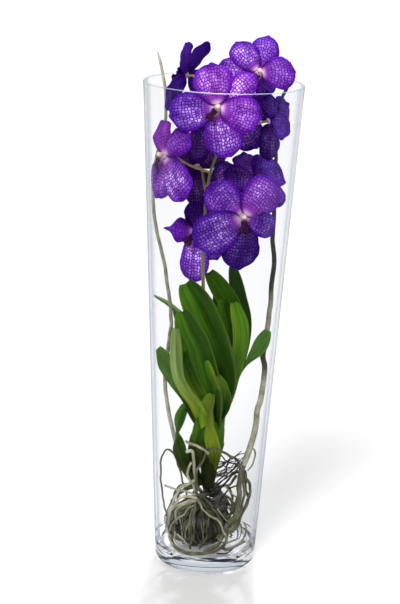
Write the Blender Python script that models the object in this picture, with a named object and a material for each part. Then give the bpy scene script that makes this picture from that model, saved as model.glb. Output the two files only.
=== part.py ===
"""Vanda orchid with bare roots, standing in a tall conical vase of clear glass.

The origin is the centre of the vase's underside, +Z is up and the front is -Y.
Routes of leaves, roots and the flower spike are lists of points chosen by hand, in millimetres.
"""

import math
import random
from typing import NamedTuple

import bmesh
import bpy
from mathutils import Vector

MM = 0.001
GAP = 0.0003  # clearance between pieces that touch

# Vase, metres
VASE_HEIGHT = 0.600
RIM_RADIUS = 0.0944
BASE_RADIUS = 0.0632
WALL = 0.0035
FLOOR = 0.0165
BASE_CHAMFER = 0.003
FLOOR_ROUND = 0.006
LIP_ROUND = 0.3  # of the wall, rounded off at the rim
VASE_SIDES = 48
PRESS_START = 0.93  # of the cavity's radius, where blades and roots begin to bend along the glass

# Blades: how thick they are and how finely they are divided
LEAF_THICKNESS = 0.0016
TEPAL_THICKNESS = 0.0011
LIP_THICKNESS = 0.0012
LEAF_ROWS = 6
LEAF_COLUMNS = 2
LEAF_TIP_START = 0.78  # of the leaf's length
LEAF_TIP_NOTCH = 0.25  # of its half width
FOLD_AT_BASE = 1.4  # times the leaf's own fold
FOLD_AT_TIP = 0.5
TEPAL_ROWS = (0.0, 0.22, 0.42, 0.62, 0.84, 1.0)
TEPAL_COLUMNS = 3

# Bloom: the small hub that its five tepals grow from, and what stands on it
HUB_RADIUS = 0.0048
HUB_HALF = 0.0024
CLAW_START = 0.0036
CLAW_WIDTH = 0.20  # of the full width
ROUND_BASE = 0.80  # how far a petal's base is round rather than drawn into its claw
TEPAL_WIDEST = 0.58  # of the tepal's length
TEPAL_DOME = 0.16  # how far the edges lie back, as a share of the half width
TEPAL_SWELL = 0.05  # how far the middle stands forward, as a share of the length
TEPAL_CORNER = 0.06  # how far the tip's corners fall short, as a share of the length
SEPAL_STEP = 0.0015  # sepals lie behind the petals by twice this
COLUMN_LENGTH = 0.0075
COLUMN_RADIUS = 0.0026
COLUMN_SHIFT = 0.0012  # away from the lip
LIP_LENGTH = 0.016
LIP_WIDTH = 0.010
LIP_START = 0.0024
LIP_RISE = 0.006
LIP_SHARES = (0.55, 0.75, 0.45, 1.0, 0.35)  # its width from base to tip, as shares of the full one

# Stem and spike
STEM_FOOT = 0.0903
STEM_SIDES = 8
STEM_STEPS = 9
SPIKE_RADIUS = 0.0026
SPIKE_STEPS = 16
PEDICEL_STEPS = 6
PEDICEL_RADIUS = 0.0013
PEDICEL_NECK = 0.010  # the straight stretch behind each bloom
PEDICEL_SAG = 0.002

# Roots: the crown on top of a matted core, and how finely roots are divided
CROWN = (-2, -4, 80)
CROWN_FOOT_Z = 55
CROWN_TOP_Z = 90
CROWN_RADIUS = 0.0095
CORE_CENTRE = (-11, 0, 43)
CORE_SIZE = (39, 36, 29)
CORE_ROUGHNESS = 0.03
LUMP_CENTRE = (17, -6, 72)
LUMP_SIZE = (11, 12, 12)
LUMP_ROUGHNESS = 0.05
BACK_ROOTS = 9
BACK_ROOT_SEED = 7
AERIAL_STEP = 0.026
TANGLE_STEP = 0.022
AERIAL_SIDES = 6
TANGLE_SIDES = 5


class Leaf(NamedTuple):
    """A strap leaf: its middle line from base to tip, full width, the way it faces, and its fold."""

    name: str
    width: float
    facing: float  # degrees round Z, 0 to the front, positive to the right
    pitch: float  # degrees that the upper face looks up
    fold: float  # how far the edges stand forward, as a share of the half width
    route: tuple
    neck: float = 0.5  # the width at the base, as a share of the full width
    full: float = 0.35  # the share of the length where the leaf reaches its full width
    twist: float = 0.0  # degrees that it turns to the right on its way to the tip
    waist: float = 0.0  # the share of the length where it begins to widen


LEAVES = (
    Leaf("front_tall", 39, -12, 10, 0.25,
         ((8, -4, 180), (13, -16, 232), (5, -26, 280), (-14, -28, 325), (-37, -20, 362))),
    Leaf("front_left", 37, -22, 12, 0.30,
         ((6, -4, 165), (-2, -24, 228), (-17, -36, 283), (-29, -42, 309), (-39, -40, 333))),
    Leaf("left_low", 23, -20, 25, 0.30,
         ((2, -2, 150), (-22, -10, 208), (-42, -16, 237), (-58, -20, 262), (-68, -20, 278))),
    Leaf("left_pale", 19, -30, 5, 0.30,
         ((4, -4, 140), (-14, -22, 203), (-31, -38, 233), (-41, -44, 259), (-45, -42, 311))),
    Leaf("left_inner", 22, -15, 5, 0.25,
         ((5, -4, 150), (-10, -18, 208), (-24, -30, 240), (-34, -34, 266), (-40, -32, 290))),
    Leaf("left_arching", 9, -10, 75, 0.30,
         ((6, 2, 185), (-12, 10, 262), (-33, 10, 301), (-55, 8, 324), (-77, 6, 337))),
    Leaf("left_behind", 18, 10, 0, 0.30,
         ((6, 4, 180), (-14, 18, 253), (-34, 18, 292), (-48, 14, 317))),
    Leaf("back_mid", 27, -15, 5, 0.25,
         ((10, 2, 200), (25, 12, 262), (23, 14, 316), (8, 14, 344), (-9, 12, 368))),
    Leaf("back_right", 21, 25, -5, 0.30,
         ((10, 4, 185), (30, 24, 250), (36, 30, 297), (28, 30, 334), (19, 28, 372))),
    Leaf("right_lit", 22, 30, 5, 0.40,
         ((8, -2, 170), (21, -8, 232), (31, -10, 276), (31, -10, 307), (22, -8, 336))),
    Leaf("mid_dark", 22, 0, 5, 0.35,
         ((8, -2, 175), (20, -2, 234), (22, 0, 279), (16, 2, 310), (9, 2, 337))),
    Leaf("right_small", 19, 65, 10, 0.20,
         ((10, 0, 190), (33, 4, 238), (45, 2, 260), (56, 0, 277), (66, -6, 302)), 0.30, 0.85, -60, 0.5),
    Leaf("inner_lit", 9, -20, 20, 0.35,
         ((10, -6, 185), (8, -30, 228), (0, -40, 253), (-7, -46, 273))),
    Leaf("inner_olive", 11, -10, 20, 0.35,
         ((11, -6, 178), (20, -22, 212), (15, -34, 236), (7, -44, 254))),
    Leaf("front_low", 18, -10, 15, 0.30,
         ((7, -10, 118), (8, -20, 142), (4, -22, 160), (-3, -23, 182), (-5, -26, 204), (1, -28, 225))),
    Leaf("left_curled", 17, -15, 5, 0.25,
         ((0, -3, 98), (-18, -10, 110), (-33, -16, 136), (-41, -20, 165),
          (-39, -18, 184), (-33, -12, 198), (-24, -6, 199)), 0.8, 0.2, 150),
    Leaf("low_centre", 15, -15, 10, 0.25,
         ((6, -4, 185), (-3, -14, 192), (-12, -21, 180), (-16, -22, 158))),
    Leaf("old_base", 20, -15, 5, 0.20,
         ((-6, -4, 101), (-17, -10, 110), (-20, -12, 124), (-16, -13, 146), (-13, -12, 172)), 0.6, 0.3),
    Leaf("rear_left", 24, 160, 5, 0.30,
         ((8, 4, 165), (2, 20, 225), (-12, 36, 275), (-20, 44, 318))),
    Leaf("rear_right", 26, 190, 5, 0.30,
         ((9, 4, 175), (16, 24, 240), (14, 42, 290), (4, 50, 335))),
)

STEM_ROUTE = ((1, -2, 90), (1, -2, 112), (2, -3, 132), (4, -3, 156), (8, -3, 185), (11, -1, 214), (13, 0, 232))
STEM_RADII = (6.8, 12.5, 15.5, 13.0, 8.2, 5.4, 3.5)

SPIKE_ROUTE = (
    (2.1, -5.7, 205.5), (-6, -9.5, 222), (-11, -11, 250), (-13, -14, 301), (-15, -16, 358), (-17, -20, 400),
    (-16, -17, 442), (-14, -7, 484), (-6, 0, 512), (-2, 2, 560), (2, 3, 598),
)


class Tepal(NamedTuple):
    """One petal or sepal: its place round the bloom, its size and how far it leans forward."""

    angle: float  # degrees in the bloom's plane, anticlockwise from its right, seen from the front
    length: float
    width: float
    lean: float = 0.0  # degrees towards the side that the bloom faces
    curl: float = 0.12  # how far the tip bends back, as a share of the length
    point: float = 0.0  # 0 for a round tip, up to 0.9 for a pointed one


class Bloom(NamedTuple):
    """One flower: the point that its tepals grow from, the way it faces, and its lip and tepals."""

    name: str
    centre: tuple
    facing: float  # degrees round Z, 0 to the front, positive to the right
    pitch: float  # degrees that it looks up
    lip: float  # the side its lip is on, in the degrees of its tepals
    tepals: tuple
    drop: float = 22  # how far below it its pedicel leaves the spike
    round: tuple = ()  # points that its pedicel goes round by


BLOOMS = (
    Bloom("front_top", (-6, -46, 577), -2, 14, 236, (
        Tepal(44, 58, 31),
        Tepal(103, 52, 46),
        Tepal(-12, 51, 43),
        Tepal(190, 57, 45),
        Tepal(-76, 58, 45))),
    Bloom("upper_right", (39, -10, 613), 8, 26, 240, (
        Tepal(72, 51, 34),
        Tepal(124, 46, 34),
        Tepal(3, 45, 40),
        Tepal(-40, 36, 36, -35),
        Tepal(172, 48, 34))),
    Bloom("upper_left", (-45, 24, 603), -122, 5, -15, (
        Tepal(67, 45, 27),
        Tepal(24, 24, 16),
        Tepal(135, 52, 25),
        Tepal(205, 42, 32),
        Tepal(-32, 60, 34))),
    Bloom("left", (-66, -33, 517), -50, 8, 262, (
        Tepal(121, 44, 34),
        Tepal(46, 43, 34, -9),
        Tepal(168, 34, 26, -50),
        Tepal(-48, 60, 48),
        Tepal(-104, 54, 42))),
    Bloom("front_low", (29, -48, 451), 6, 8, 270, (
        Tepal(140, 55, 43),
        Tepal(51, 57, 46),
        Tepal(211, 66, 50),
        Tepal(-20, 42, 30, 12),
        Tepal(-94, 63, 46))),
    Bloom("low_left", (-27, -4, 421), 0, 0, 235, (
        Tepal(92, 36, 27),
        Tepal(175, 38, 33, 8, 0.12, 0.8),
        Tepal(50, 30, 24, -8),
        Tepal(-89.5, 67, 35),
        Tepal(-54, 55, 31, -19)), 2, ((-10, -7, 420), (-13, 6, 419))),
    Bloom("right_high", (55, 5, 556), 130, 5, 270, (
        Tepal(100, 38, 32),
        Tepal(146, 47, 34),
        Tepal(36, 36, 30),
        Tepal(-176, 47, 36, 0, 0.12, 0.4),
        Tepal(-97, 46, 38))),
    Bloom("right_mid", (46, -11, 481), 36, 40, 250, (
        Tepal(86, 50, 46),
        Tepal(150, 46, 34),
        Tepal(38, 54, 50),
        Tepal(-24, 41, 36),
        Tepal(215, 34, 28))),
    Bloom("inner_left", (-29, 28, 494), -150, 5, 270, (
        Tepal(90, 52, 38), Tepal(25, 44, 34), Tepal(150, 44, 34),
        Tepal(-38, 48, 36), Tepal(-100, 52, 40))),
    Bloom("rear_high", (14, 50, 555), 172, 12, 270, (
        Tepal(92, 46, 34), Tepal(29, 45, 37), Tepal(155, 47, 36), Tepal(-43, 50, 40),
        Tepal(-127, 49, 42))),
    Bloom("rear_low", (8, 48, 455), 182, 4, 270, (
        Tepal(88, 45, 35), Tepal(23, 46, 38), Tepal(150, 45, 36), Tepal(-48, 51, 40),
        Tepal(-131, 49, 41))),
)


class Root(NamedTuple):
    """One root: its radius at start and end, and its route."""

    start: float
    end: float
    route: tuple


AERIAL_ROOTS = {
    "aerial_root_left": Root(1.7, 2.7, (
        (-79, 10, 631), (-75, 8, 618), (-71, 8, 601), (-68, 5, 585), (-67, 5, 551), (-75, 10, 517),
        (-82, 4, 462), (-80, -2, 450), (-75, -6, 431), (-71, -8, 412), (-64, -9, 386), (-59, -9, 358),
        (-55, -10, 337), (-52, -8, 306), (-54, -4, 285), (-58, -2, 237), (-53, -2, 195),
        (-46, -2, 165), (-38, 2, 135), (-27, 2, 110))),
    "aerial_root_right": Root(1.8, 4.0, (
        (77, 20, 624), (76, 20, 598), (69, 37, 577), (65, 47, 545), (67, 42, 500), (67, 26, 419),
        (68, 22, 397), (71, 20, 376), (69, 20, 356), (69, 18, 333), (67, 18, 298), (62, 16, 263),
        (67, 15, 247), (67, 15, 233), (65, 14, 219), (61, 12, 201), (58, 10, 191), (57, 8, 167),
        (50, 3, 139), (44, -2, 122))),
}

FORK = (44, -2, 122)

TANGLE = (
    Root(2.6, 2.4, ((-27, 2, 110), (-24.6, 2, 104.5), (-16, 0, 94), CROWN)),
    Root(3.8, 2.2, (FORK, (42, -3.6, 116.5), (40, -8, 98), (41, -20, 79), (35, -30, 65), (26, -36, 54),
        (15, -46, 33), (-1, -50, 24))),
    Root(1.8, 1.6, ((42, -5, 110), (47, -3, 92), (45, -10, 72), (38, -24, 57), (28, -36, 42),
        (12, -26, 36))),
    Root(2.0, 1.6, ((43, -3, 113), (54, 6, 90), (52, 6, 69), (45, -6, 57), (38, -20, 43), (22, -14, 38))),
    Root(1.3, 1.1, ((-20, 6, 58), (-33, 4, 102), (-43, -4, 134), (-52, -12, 144), (-58, -15, 134),
        (-60, -16, 114), (-57, -18, 97), (-54, -20, 80), (-50, -24, 62), (-36, -16, 46))),
    Root(1.6, 1.8, ((-4, -30, 151), (8, -31, 155), (17, -30, 150), (28, -21, 141), (37, -9, 131),
        (43, -5, 116), (42, -9, 100), (39, -14, 84), (33, -24, 70), (26, -32, 62))),
    Root(2.0, 1.2, ((-28, -25, 146), (-20, -25, 147), (-18, -25, 132), (-16, -25, 117), (-14, -24, 101),
        (-14, -25, 89), (-14, -31, 78), (-16, -36, 65), (-17, -39, 51), (-17, -39, 35), (-19, -38, 24))),
    Root(1.5, 1.5, ((-21, -26, 133), (-26, -27, 122), (-25, -27, 114), (-18, -26, 105), (-14, -23, 90),
        CROWN)),
    Root(1.5, 1.7, ((-3, -30, 150), (-7, -28, 135), (-11, -26, 129), (-14, -26, 117), (-13, -25, 101),
        (-13, -23, 88), CROWN)),
    Root(1.8, 1.5, ((-29, -26, 161), (-20, -29, 158), (-8, -31, 154), (-3, -31, 150), (0, -31, 147))),
    Root(1.3, 1.4, ((-53, -24, 100), (-39, -26, 96), (-28, -27, 94), (-15, -25, 89))),
    Root(1.9, 1.5, ((-14, -24, 109), (-22, -26, 106), (-33, -29, 100), (-37, -31, 92), (-42, -36, 81),
        (-50, -41, 68), (-46, -34, 52))),
    Root(2.1, 1.5, ((-13, -28, 86), (-23, -29, 88), (-32, -33, 89), (-37, -36, 84), (-43, -39, 76),
        (-48, -41, 70))),
    Root(1.6, 1.3, ((-13, -29, 83), (-23, -31, 84), (-31, -35, 82), (-40, -38, 77), (-49, -42, 65),
        (-48, -38, 52))),
    Root(1.3, 1.2, ((-13, -30, 83), (-23, -32, 82), (-30, -35, 80), (-37, -39, 72), (-38, -40, 62),
        (-36, -34, 54))),
    Root(1.3, 1.2, ((-15, -32, 78), (-22, -34, 75), (-28, -38, 67), (-37, -40, 61), (-43, -39, 53),
        (-45, -38, 45))),
    Root(1.5, 1.4, ((-13, -24, 91), (-2, -26, 86), (5, -29, 80), (7, -32, 75), (13, -34, 71),
        (16, -36, 65), (22, -38, 56))),
    Root(1.4, 1.3, ((-14, -27, 87), (-7, -30, 80), (-4, -34, 74), (3, -37, 69), (9, -39, 66),
        (16, -41, 62), (21, -44, 52), (25, -46, 46))),
    Root(1.6, 1.3, ((-14, -26, 89), (-14, -34, 76), (-14, -39, 61), (-14, -42, 47), (-17, -44, 33),
        (-18, -46, 25))),
    Root(2.3, 2.1, ((-44, -36, 38), (-40, -42, 27), (-27, -48, 23), (-14, -52, 21), (-1, -54, 23),
        (13, -53, 27), (23, -49, 34), (27, -44, 46), (26, -38, 52))),
    Root(2.2, 1.8, ((20, -49, 31), (27, -46, 27), (37, -41, 29), (50, -30, 31))),
    Root(2.0, 1.7, ((46, -2, 115), (48, -2, 105), (49, 0, 88), (52, 0, 77), (48, -9, 66), (40, -24, 54),
        (34, -38, 47))),
    Root(1.2, 1.0, ((3, -8, 83), (13, -14, 90), (22, -13, 102), (34, -8, 114), (42, -4, 110))),
    Root(1.1, 1.0, ((3, -8, 80), (14, -6, 86), (24, -3, 100), (34, -1, 112), (42, -4, 112))),
    Root(1.1, 1.0, ((3, -10, 76), (14, -14, 78), (28, -10, 92), (40, -9, 98))),
)


def mm(point):
    """A point given in millimetres, as a vector in metres."""
    return Vector(point) * MM


def clear_scene():
    for obj in list(bpy.data.objects):
        bpy.data.objects.remove(obj, do_unlink=True)


def material(name, colour, roughness, metallic=0.0):
    found = bpy.data.materials.new(name)
    found.use_nodes = True
    shader = found.node_tree.nodes["Principled BSDF"]
    shader.inputs["Base Color"].default_value = (*colour, 1.0)
    shader.inputs["Roughness"].default_value = roughness
    shader.inputs["Metallic"].default_value = metallic
    return found


def glass_material():
    found = material("clear_glass", (0.93, 0.96, 0.96), 0.02)
    found.node_tree.nodes["Principled BSDF"].inputs["Transmission Weight"].default_value = 1.0
    return found


def add_object(name, bm, finish, smooth=True):
    """Makes a mesh object of closed bodies, with its faces outwards and split into triangles."""
    bmesh.ops.recalc_face_normals(bm, faces=bm.faces)
    bmesh.ops.triangulate(bm, faces=bm.faces)
    mesh = bpy.data.meshes.new(name)
    bm.to_mesh(mesh)
    bm.free()
    if smooth:
        mesh.shade_smooth()
        mesh.set_sharp_from_angle(angle=math.radians(50))
    obj = bpy.data.objects.new(name, mesh)
    obj.data.materials.append(finish)
    bpy.context.scene.collection.objects.link(obj)
    return obj


def smooth_route(points, count):
    """Reads `count` points, evenly spread, from a smooth curve through the given ones."""
    known = [2 * points[0] - points[1], *points, 2 * points[-1] - points[-2]]
    fine = []
    steps = 12
    for index in range(1, len(known) - 2):
        a, b, c, d = known[index - 1:index + 3]
        for step in range(steps):
            t = step / steps
            fine.append(0.5 * (2 * b + (c - a) * t + (2 * a - 5 * b + 4 * c - d) * t * t
                               + (3 * b - a - 3 * c + d) * t ** 3))
    fine.append(points[-1].copy())
    travelled = [0.0]
    for before, after in zip(fine, fine[1:]):
        travelled.append(travelled[-1] + (after - before).length)
    result = []
    index = 0
    for step in range(count):
        target = travelled[-1] * step / (count - 1)
        while index < len(fine) - 2 and travelled[index + 1] < target:
            index += 1
        span = travelled[index + 1] - travelled[index]
        share = (target - travelled[index]) / span if span else 0.0
        result.append(fine[index].lerp(fine[index + 1], min(1.0, share)))
    return result


def smooth_step(t):
    t = max(0.0, min(1.0, t))
    return t * t * (3 - 2 * t)


def inner_radius(height):
    """The radius of the vase's cavity at a height."""
    return BASE_RADIUS + (RIM_RADIUS - BASE_RADIUS) * height / VASE_HEIGHT - WALL


def inside_vase(point, margin):
    """Bends a point that would reach the glass back inside, so that blades lie along the wall."""
    limit = inner_radius(point.z) - margin
    knee = PRESS_START * limit
    radius = math.hypot(point.x, point.y)
    if radius > knee:
        pressed = knee + (limit - knee) * math.tanh((radius - knee) / (limit - knee))
        point.x *= pressed / radius
        point.y *= pressed / radius
    point.z = max(point.z, FLOOR + margin)
    return point


def along_and_frames(path):
    """The tangent at each point of a path and a side vector that turns as little as it can."""
    tangents = []
    for index in range(len(path)):
        before = path[max(0, index - 1)]
        after = path[min(len(path) - 1, index + 1)]
        tangents.append((after - before).normalized())
    first = Vector((1, 0, 0)) if abs(tangents[0].x) < 0.8 else Vector((0, 1, 0))
    sides = []
    side = first
    for tangent in tangents:
        side = (side - tangent * side.dot(tangent)).normalized()
        sides.append(side.copy())
    return tangents, sides


def add_tube(bm, path, radii, sides):
    """Adds a closed tube with flat ends along a path."""
    tangents, side_vectors = along_and_frames(path)
    rings = []
    for point, tangent, side, radius in zip(path, tangents, side_vectors, radii):
        other = tangent.cross(side)
        ring = []
        for step in range(sides):
            turn = 2 * math.pi * step / sides
            ring.append(bm.verts.new(point + radius * (math.cos(turn) * side + math.sin(turn) * other)))
        rings.append(ring)
    for ring, following in zip(rings, rings[1:]):
        for step in range(sides):
            after = (step + 1) % sides
            bm.faces.new((ring[step], ring[after], following[after], following[step]))
    bm.faces.new(rings[0])
    bm.faces.new(rings[-1])


def add_blade(bm, grid, thickness):
    """Closes a grid of points into a blade, with both faces split into the same triangles."""
    rows = len(grid)
    columns = len(grid[0])
    faces_of_blade = []
    for side in (0.5, -0.5):
        sheet = []
        for row in range(rows):
            line = []
            for column in range(columns):
                along = grid[min(rows - 1, row + 1)][column] - grid[max(0, row - 1)][column]
                across = grid[row][min(columns - 1, column + 1)] - grid[row][max(0, column - 1)]
                normal = along.cross(across).normalized()
                line.append(bm.verts.new(grid[row][column] + normal * thickness * side))
            sheet.append(line)
        faces_of_blade.append(sheet)
    front, back = faces_of_blade
    for row in range(rows - 1):
        for column in range(columns - 1):
            for sheet in faces_of_blade:
                a = sheet[row][column]
                b = sheet[row + 1][column]
                c = sheet[row + 1][column + 1]
                d = sheet[row][column + 1]
                if column < (columns - 1) / 2:
                    bm.faces.new((a, b, c))
                    bm.faces.new((a, c, d))
                else:
                    bm.faces.new((a, b, d))
                    bm.faces.new((b, c, d))
    rim = [(0, column) for column in range(columns)]
    rim += [(row, columns - 1) for row in range(1, rows)]
    rim += [(rows - 1, column) for column in range(columns - 2, -1, -1)]
    rim += [(row, 0) for row in range(rows - 2, 0, -1)]
    for here, after in zip(rim, rim[1:] + rim[:1]):
        bm.faces.new((
            front[here[0]][here[1]], front[after[0]][after[1]],
            back[after[0]][after[1]], back[here[0]][here[1]],
        ))


def largest_body(bm):
    """Keeps the outer body of a union: sealed hollows are filled and loose scraps are dropped."""
    unseen = set(bm.faces)
    bodies = []
    while unseen:
        todo = [unseen.pop()]
        body = set(todo)
        while todo:
            for edge in todo.pop().edges:
                for face in edge.link_faces:
                    if face in unseen:
                        unseen.discard(face)
                        body.add(face)
                        todo.append(face)
        bodies.append(body)
    bodies.sort(key=len, reverse=True)
    spare = [face for body in bodies[1:] for face in body]
    bmesh.ops.delete(bm, geom=spare, context="FACES")
    loose = [vert for vert in bm.verts if not vert.link_faces]
    bmesh.ops.delete(bm, geom=loose, context="VERTS")


def join(name, pieces, finish):
    """Joins closed pieces that grow together into one body with one Boolean union."""
    base, *others = pieces
    group = bpy.data.collections.new(name + "_pieces")
    bpy.context.scene.collection.children.link(group)
    for piece in others:
        group.objects.link(piece)
    union = base.modifiers.new("union", "BOOLEAN")
    union.operation = "UNION"
    union.operand_type = "COLLECTION"
    union.collection = group
    union.solver = "EXACT"
    evaluated = base.evaluated_get(bpy.context.evaluated_depsgraph_get())
    joined = bmesh.new()
    joined.from_mesh(evaluated.to_mesh())
    evaluated.to_mesh_clear()
    for piece in pieces:
        bpy.data.objects.remove(piece, do_unlink=True)
    bpy.data.collections.remove(group)
    largest_body(joined)
    return add_object(name, joined, finish)


def make_vase():
    """A lathed glass: thick clear foot, thin straight flaring wall and a rounded rim."""
    inner_foot = inner_radius(FLOOR + FLOOR_ROUND)
    edge = LIP_ROUND * WALL
    profile = [
        (0.0, 0.0), (BASE_RADIUS - BASE_CHAMFER, 0.0), (BASE_RADIUS, BASE_CHAMFER),
        (RIM_RADIUS, VASE_HEIGHT - edge), (RIM_RADIUS - edge, VASE_HEIGHT),
        (RIM_RADIUS - WALL + edge, VASE_HEIGHT), (inner_radius(VASE_HEIGHT), VASE_HEIGHT - edge),
        (inner_foot, FLOOR + FLOOR_ROUND), (inner_foot - 0.3 * FLOOR_ROUND, FLOOR + 0.3 * FLOOR_ROUND),
        (inner_foot - FLOOR_ROUND, FLOOR), (0.0, FLOOR),
    ]
    bm = bmesh.new()
    verts = [bm.verts.new((radius, 0.0, height)) for radius, height in profile]
    edges = [bm.edges.new(pair) for pair in zip(verts, verts[1:])]
    bmesh.ops.spin(bm, geom=verts + edges, cent=(0, 0, 0), axis=(0, 0, 1),
                   angle=2 * math.pi, steps=VASE_SIDES, use_merge=True)
    bmesh.ops.remove_doubles(bm, verts=bm.verts, dist=1e-6)
    return add_object("vase", bm, glass_material())


def leaf_half_width(leaf, u):
    """Half the leaf's width: narrow at the stem, even along the strap, blunt at the tip."""
    base = leaf.neck + (1 - leaf.neck) * smooth_step((u - leaf.waist) / (leaf.full - leaf.waist))
    past = max(0.0, u - LEAF_TIP_START) / (1 - LEAF_TIP_START)
    tip = math.sqrt(1 - 0.84 * past * past)
    return 0.5 * leaf.width * MM * base * tip


def leaf_grid(leaf, rows, columns):
    """Points of the leaf's middle surface: folded in a V at the base, flatter towards the tip."""
    path = smooth_route([mm(point) for point in leaf.route], rows + 1)
    rise = math.radians(leaf.pitch)
    grid = []
    for row, point in enumerate(path):
        u = row / rows
        turn = math.radians(leaf.facing + leaf.twist * smooth_step((u - 0.35) / 0.5))
        facing = Vector((math.sin(turn) * math.cos(rise), -math.cos(turn) * math.cos(rise), math.sin(rise)))
        ahead = path[min(rows, row + 1)] - path[max(0, row - 1)]
        side = ahead.cross(facing).normalized()
        normal = side.cross(ahead).normalized()
        half = leaf_half_width(leaf, u)
        fold = leaf.fold * (FOLD_AT_BASE + (FOLD_AT_TIP - FOLD_AT_BASE) * u)
        line = []
        for column in range(columns + 1):
            v = 2 * column / columns - 1
            notch = -LEAF_TIP_NOTCH * half * (1 - abs(v)) if row == rows else 0.0
            lifted = point + side * half * v + normal * half * fold * abs(v)
            line.append(inside_vase(lifted + ahead.normalized() * notch, LEAF_THICKNESS))
        grid.append(line)
    return grid


def make_leafy_stem():
    """The short stem with its strap leaves in two ranks, all one body."""
    finish = material("leaf_green", (0.07, 0.20, 0.03), 0.38)
    pieces = []
    bm = bmesh.new()
    path = smooth_route([mm(point) for point in STEM_ROUTE], STEM_STEPS)
    known = smooth_route([Vector((radius, place, 0)) for place, radius in enumerate(STEM_RADII)], STEM_STEPS)
    add_tube(bm, path, [MM * point.x for point in known], STEM_SIDES)
    bm.verts.ensure_lookup_table()
    for vert in bm.verts[:STEM_SIDES]:
        vert.co.z = STEM_FOOT
    pieces.append(add_object("stem_piece", bm, finish))
    for leaf in LEAVES:
        bm = bmesh.new()
        add_blade(bm, leaf_grid(leaf, LEAF_ROWS, LEAF_COLUMNS), LEAF_THICKNESS)
        pieces.append(add_object(leaf.name, bm, finish))
    return join("leafy_stem", pieces, finish)


def bloom_axes(bloom):
    """The way the bloom faces, and the right and up of its plane, seen from its front."""
    turn = math.radians(bloom.facing)
    rise = math.radians(bloom.pitch)
    facing = Vector((math.sin(turn) * math.cos(rise), -math.cos(turn) * math.cos(rise), math.sin(rise)))
    right = Vector((math.cos(turn), math.sin(turn), 0.0))
    return facing, right, facing.cross(right)


def tepal_half_width(u):
    """A tepal's half width as a share of its widest: a narrow claw, then a round blade."""
    if u < TEPAL_WIDEST:
        narrow = smooth_step((u - 0.05) / (TEPAL_WIDEST - 0.05))
        round_base = math.sqrt(1 - (1 - u / TEPAL_WIDEST) ** 2)
        return CLAW_WIDTH + (1 - CLAW_WIDTH) * (narrow + ROUND_BASE * (round_base - narrow))
    return math.sqrt(max(0.0, 1 - (0.95 * (u - TEPAL_WIDEST) / (1 - TEPAL_WIDEST)) ** 2))


def tepal_point(bloom, tepal, step, u, v):
    """A point of a tepal's middle surface: u runs from claw to tip and v from edge to edge."""
    facing, right, up = bloom_axes(bloom)
    turn = math.radians(tepal.angle)
    outward = math.cos(turn) * right + math.sin(turn) * up
    side = facing.cross(outward)
    lean = math.radians(tepal.lean)
    along = math.cos(lean) * outward + math.sin(lean) * facing
    normal = math.cos(lean) * facing - math.sin(lean) * outward
    length = tepal.length * MM
    half = 0.5 * tepal.width * MM * tepal_half_width(u) * (1 - tepal.point * smooth_step((u - 0.45) / 0.4))
    reach = CLAW_START + (length - CLAW_START) * u * (1 - TEPAL_CORNER * v * v * u ** 3)
    height = step - tepal.curl * length * u * u - TEPAL_DOME * half * v * v
    height += TEPAL_SWELL * length * math.sin(math.pi * u)
    point = mm(bloom.centre) + along * reach + side * half * v + normal * height
    return inside_vase(point, 2 * TEPAL_THICKNESS)


def make_hub(bloom, finish):
    facing = bloom_axes(bloom)[0]
    centre = mm(bloom.centre)
    bm = bmesh.new()
    add_tube(bm, [centre - facing * HUB_HALF, centre + facing * HUB_HALF], [HUB_RADIUS] * 2, 8)
    return add_object("hub_piece", bm, finish)


def make_tepals(bloom, finish):
    """The bloom's five tepals and the hub that they grow from, all one body."""
    pieces = [make_hub(bloom, finish)]
    for index, tepal in enumerate(bloom.tepals):
        step = SEPAL_STEP if index in (1, 2) else -SEPAL_STEP
        columns = range(TEPAL_COLUMNS + 1)
        grid = [[tepal_point(bloom, tepal, step, u, 2 * column / TEPAL_COLUMNS - 1) for column in columns]
                for u in TEPAL_ROWS]
        bm = bmesh.new()
        add_blade(bm, grid, TEPAL_THICKNESS)
        pieces.append(add_object("tepal_piece", bm, finish))
    return join(f"bloom_{bloom.name}_tepals", pieces, finish)


def make_column(bloom, finish):
    """The pale knob in the bloom's middle."""
    facing, right, up = bloom_axes(bloom)
    turn = math.radians(bloom.lip)
    towards_lip = math.cos(turn) * right + math.sin(turn) * up
    foot = mm(bloom.centre) + facing * (HUB_HALF + GAP) - towards_lip * COLUMN_SHIFT
    path = [foot + facing * COLUMN_LENGTH * share for share in (0.0, 0.8, 1.0)]
    bm = bmesh.new()
    add_tube(bm, path, [0.8 * COLUMN_RADIUS, COLUMN_RADIUS, 0.5 * COLUMN_RADIUS], 6)
    return add_object(f"bloom_{bloom.name}_column", bm, finish)


def make_lip(bloom, finish):
    """The small dark lip: raised side lobes at its base and a broad middle lobe."""
    facing, right, up = bloom_axes(bloom)
    turn = math.radians(bloom.lip)
    outward = math.cos(turn) * right + math.sin(turn) * up
    side = facing.cross(outward)
    foot = mm(bloom.centre) + facing * (HUB_HALF + GAP + 0.6 * LIP_THICKNESS) + outward * LIP_START
    grid = []
    for row, share in enumerate(LIP_SHARES):
        u = row / (len(LIP_SHARES) - 1)
        half = 0.5 * LIP_WIDTH * share
        sides_up = 0.9 * half * max(0.0, 1 - 2.2 * u)
        middle = foot + outward * LIP_LENGTH * u + facing * LIP_RISE * math.sin(2.4 * u)
        line = [middle + side * half * v + facing * sides_up * v * v for v in (-1, 0, 1)]
        grid.append([inside_vase(point, LIP_THICKNESS) for point in line])
    bm = bmesh.new()
    add_blade(bm, grid, LIP_THICKNESS)
    return add_object(f"bloom_{bloom.name}_lip", bm, finish)


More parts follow.
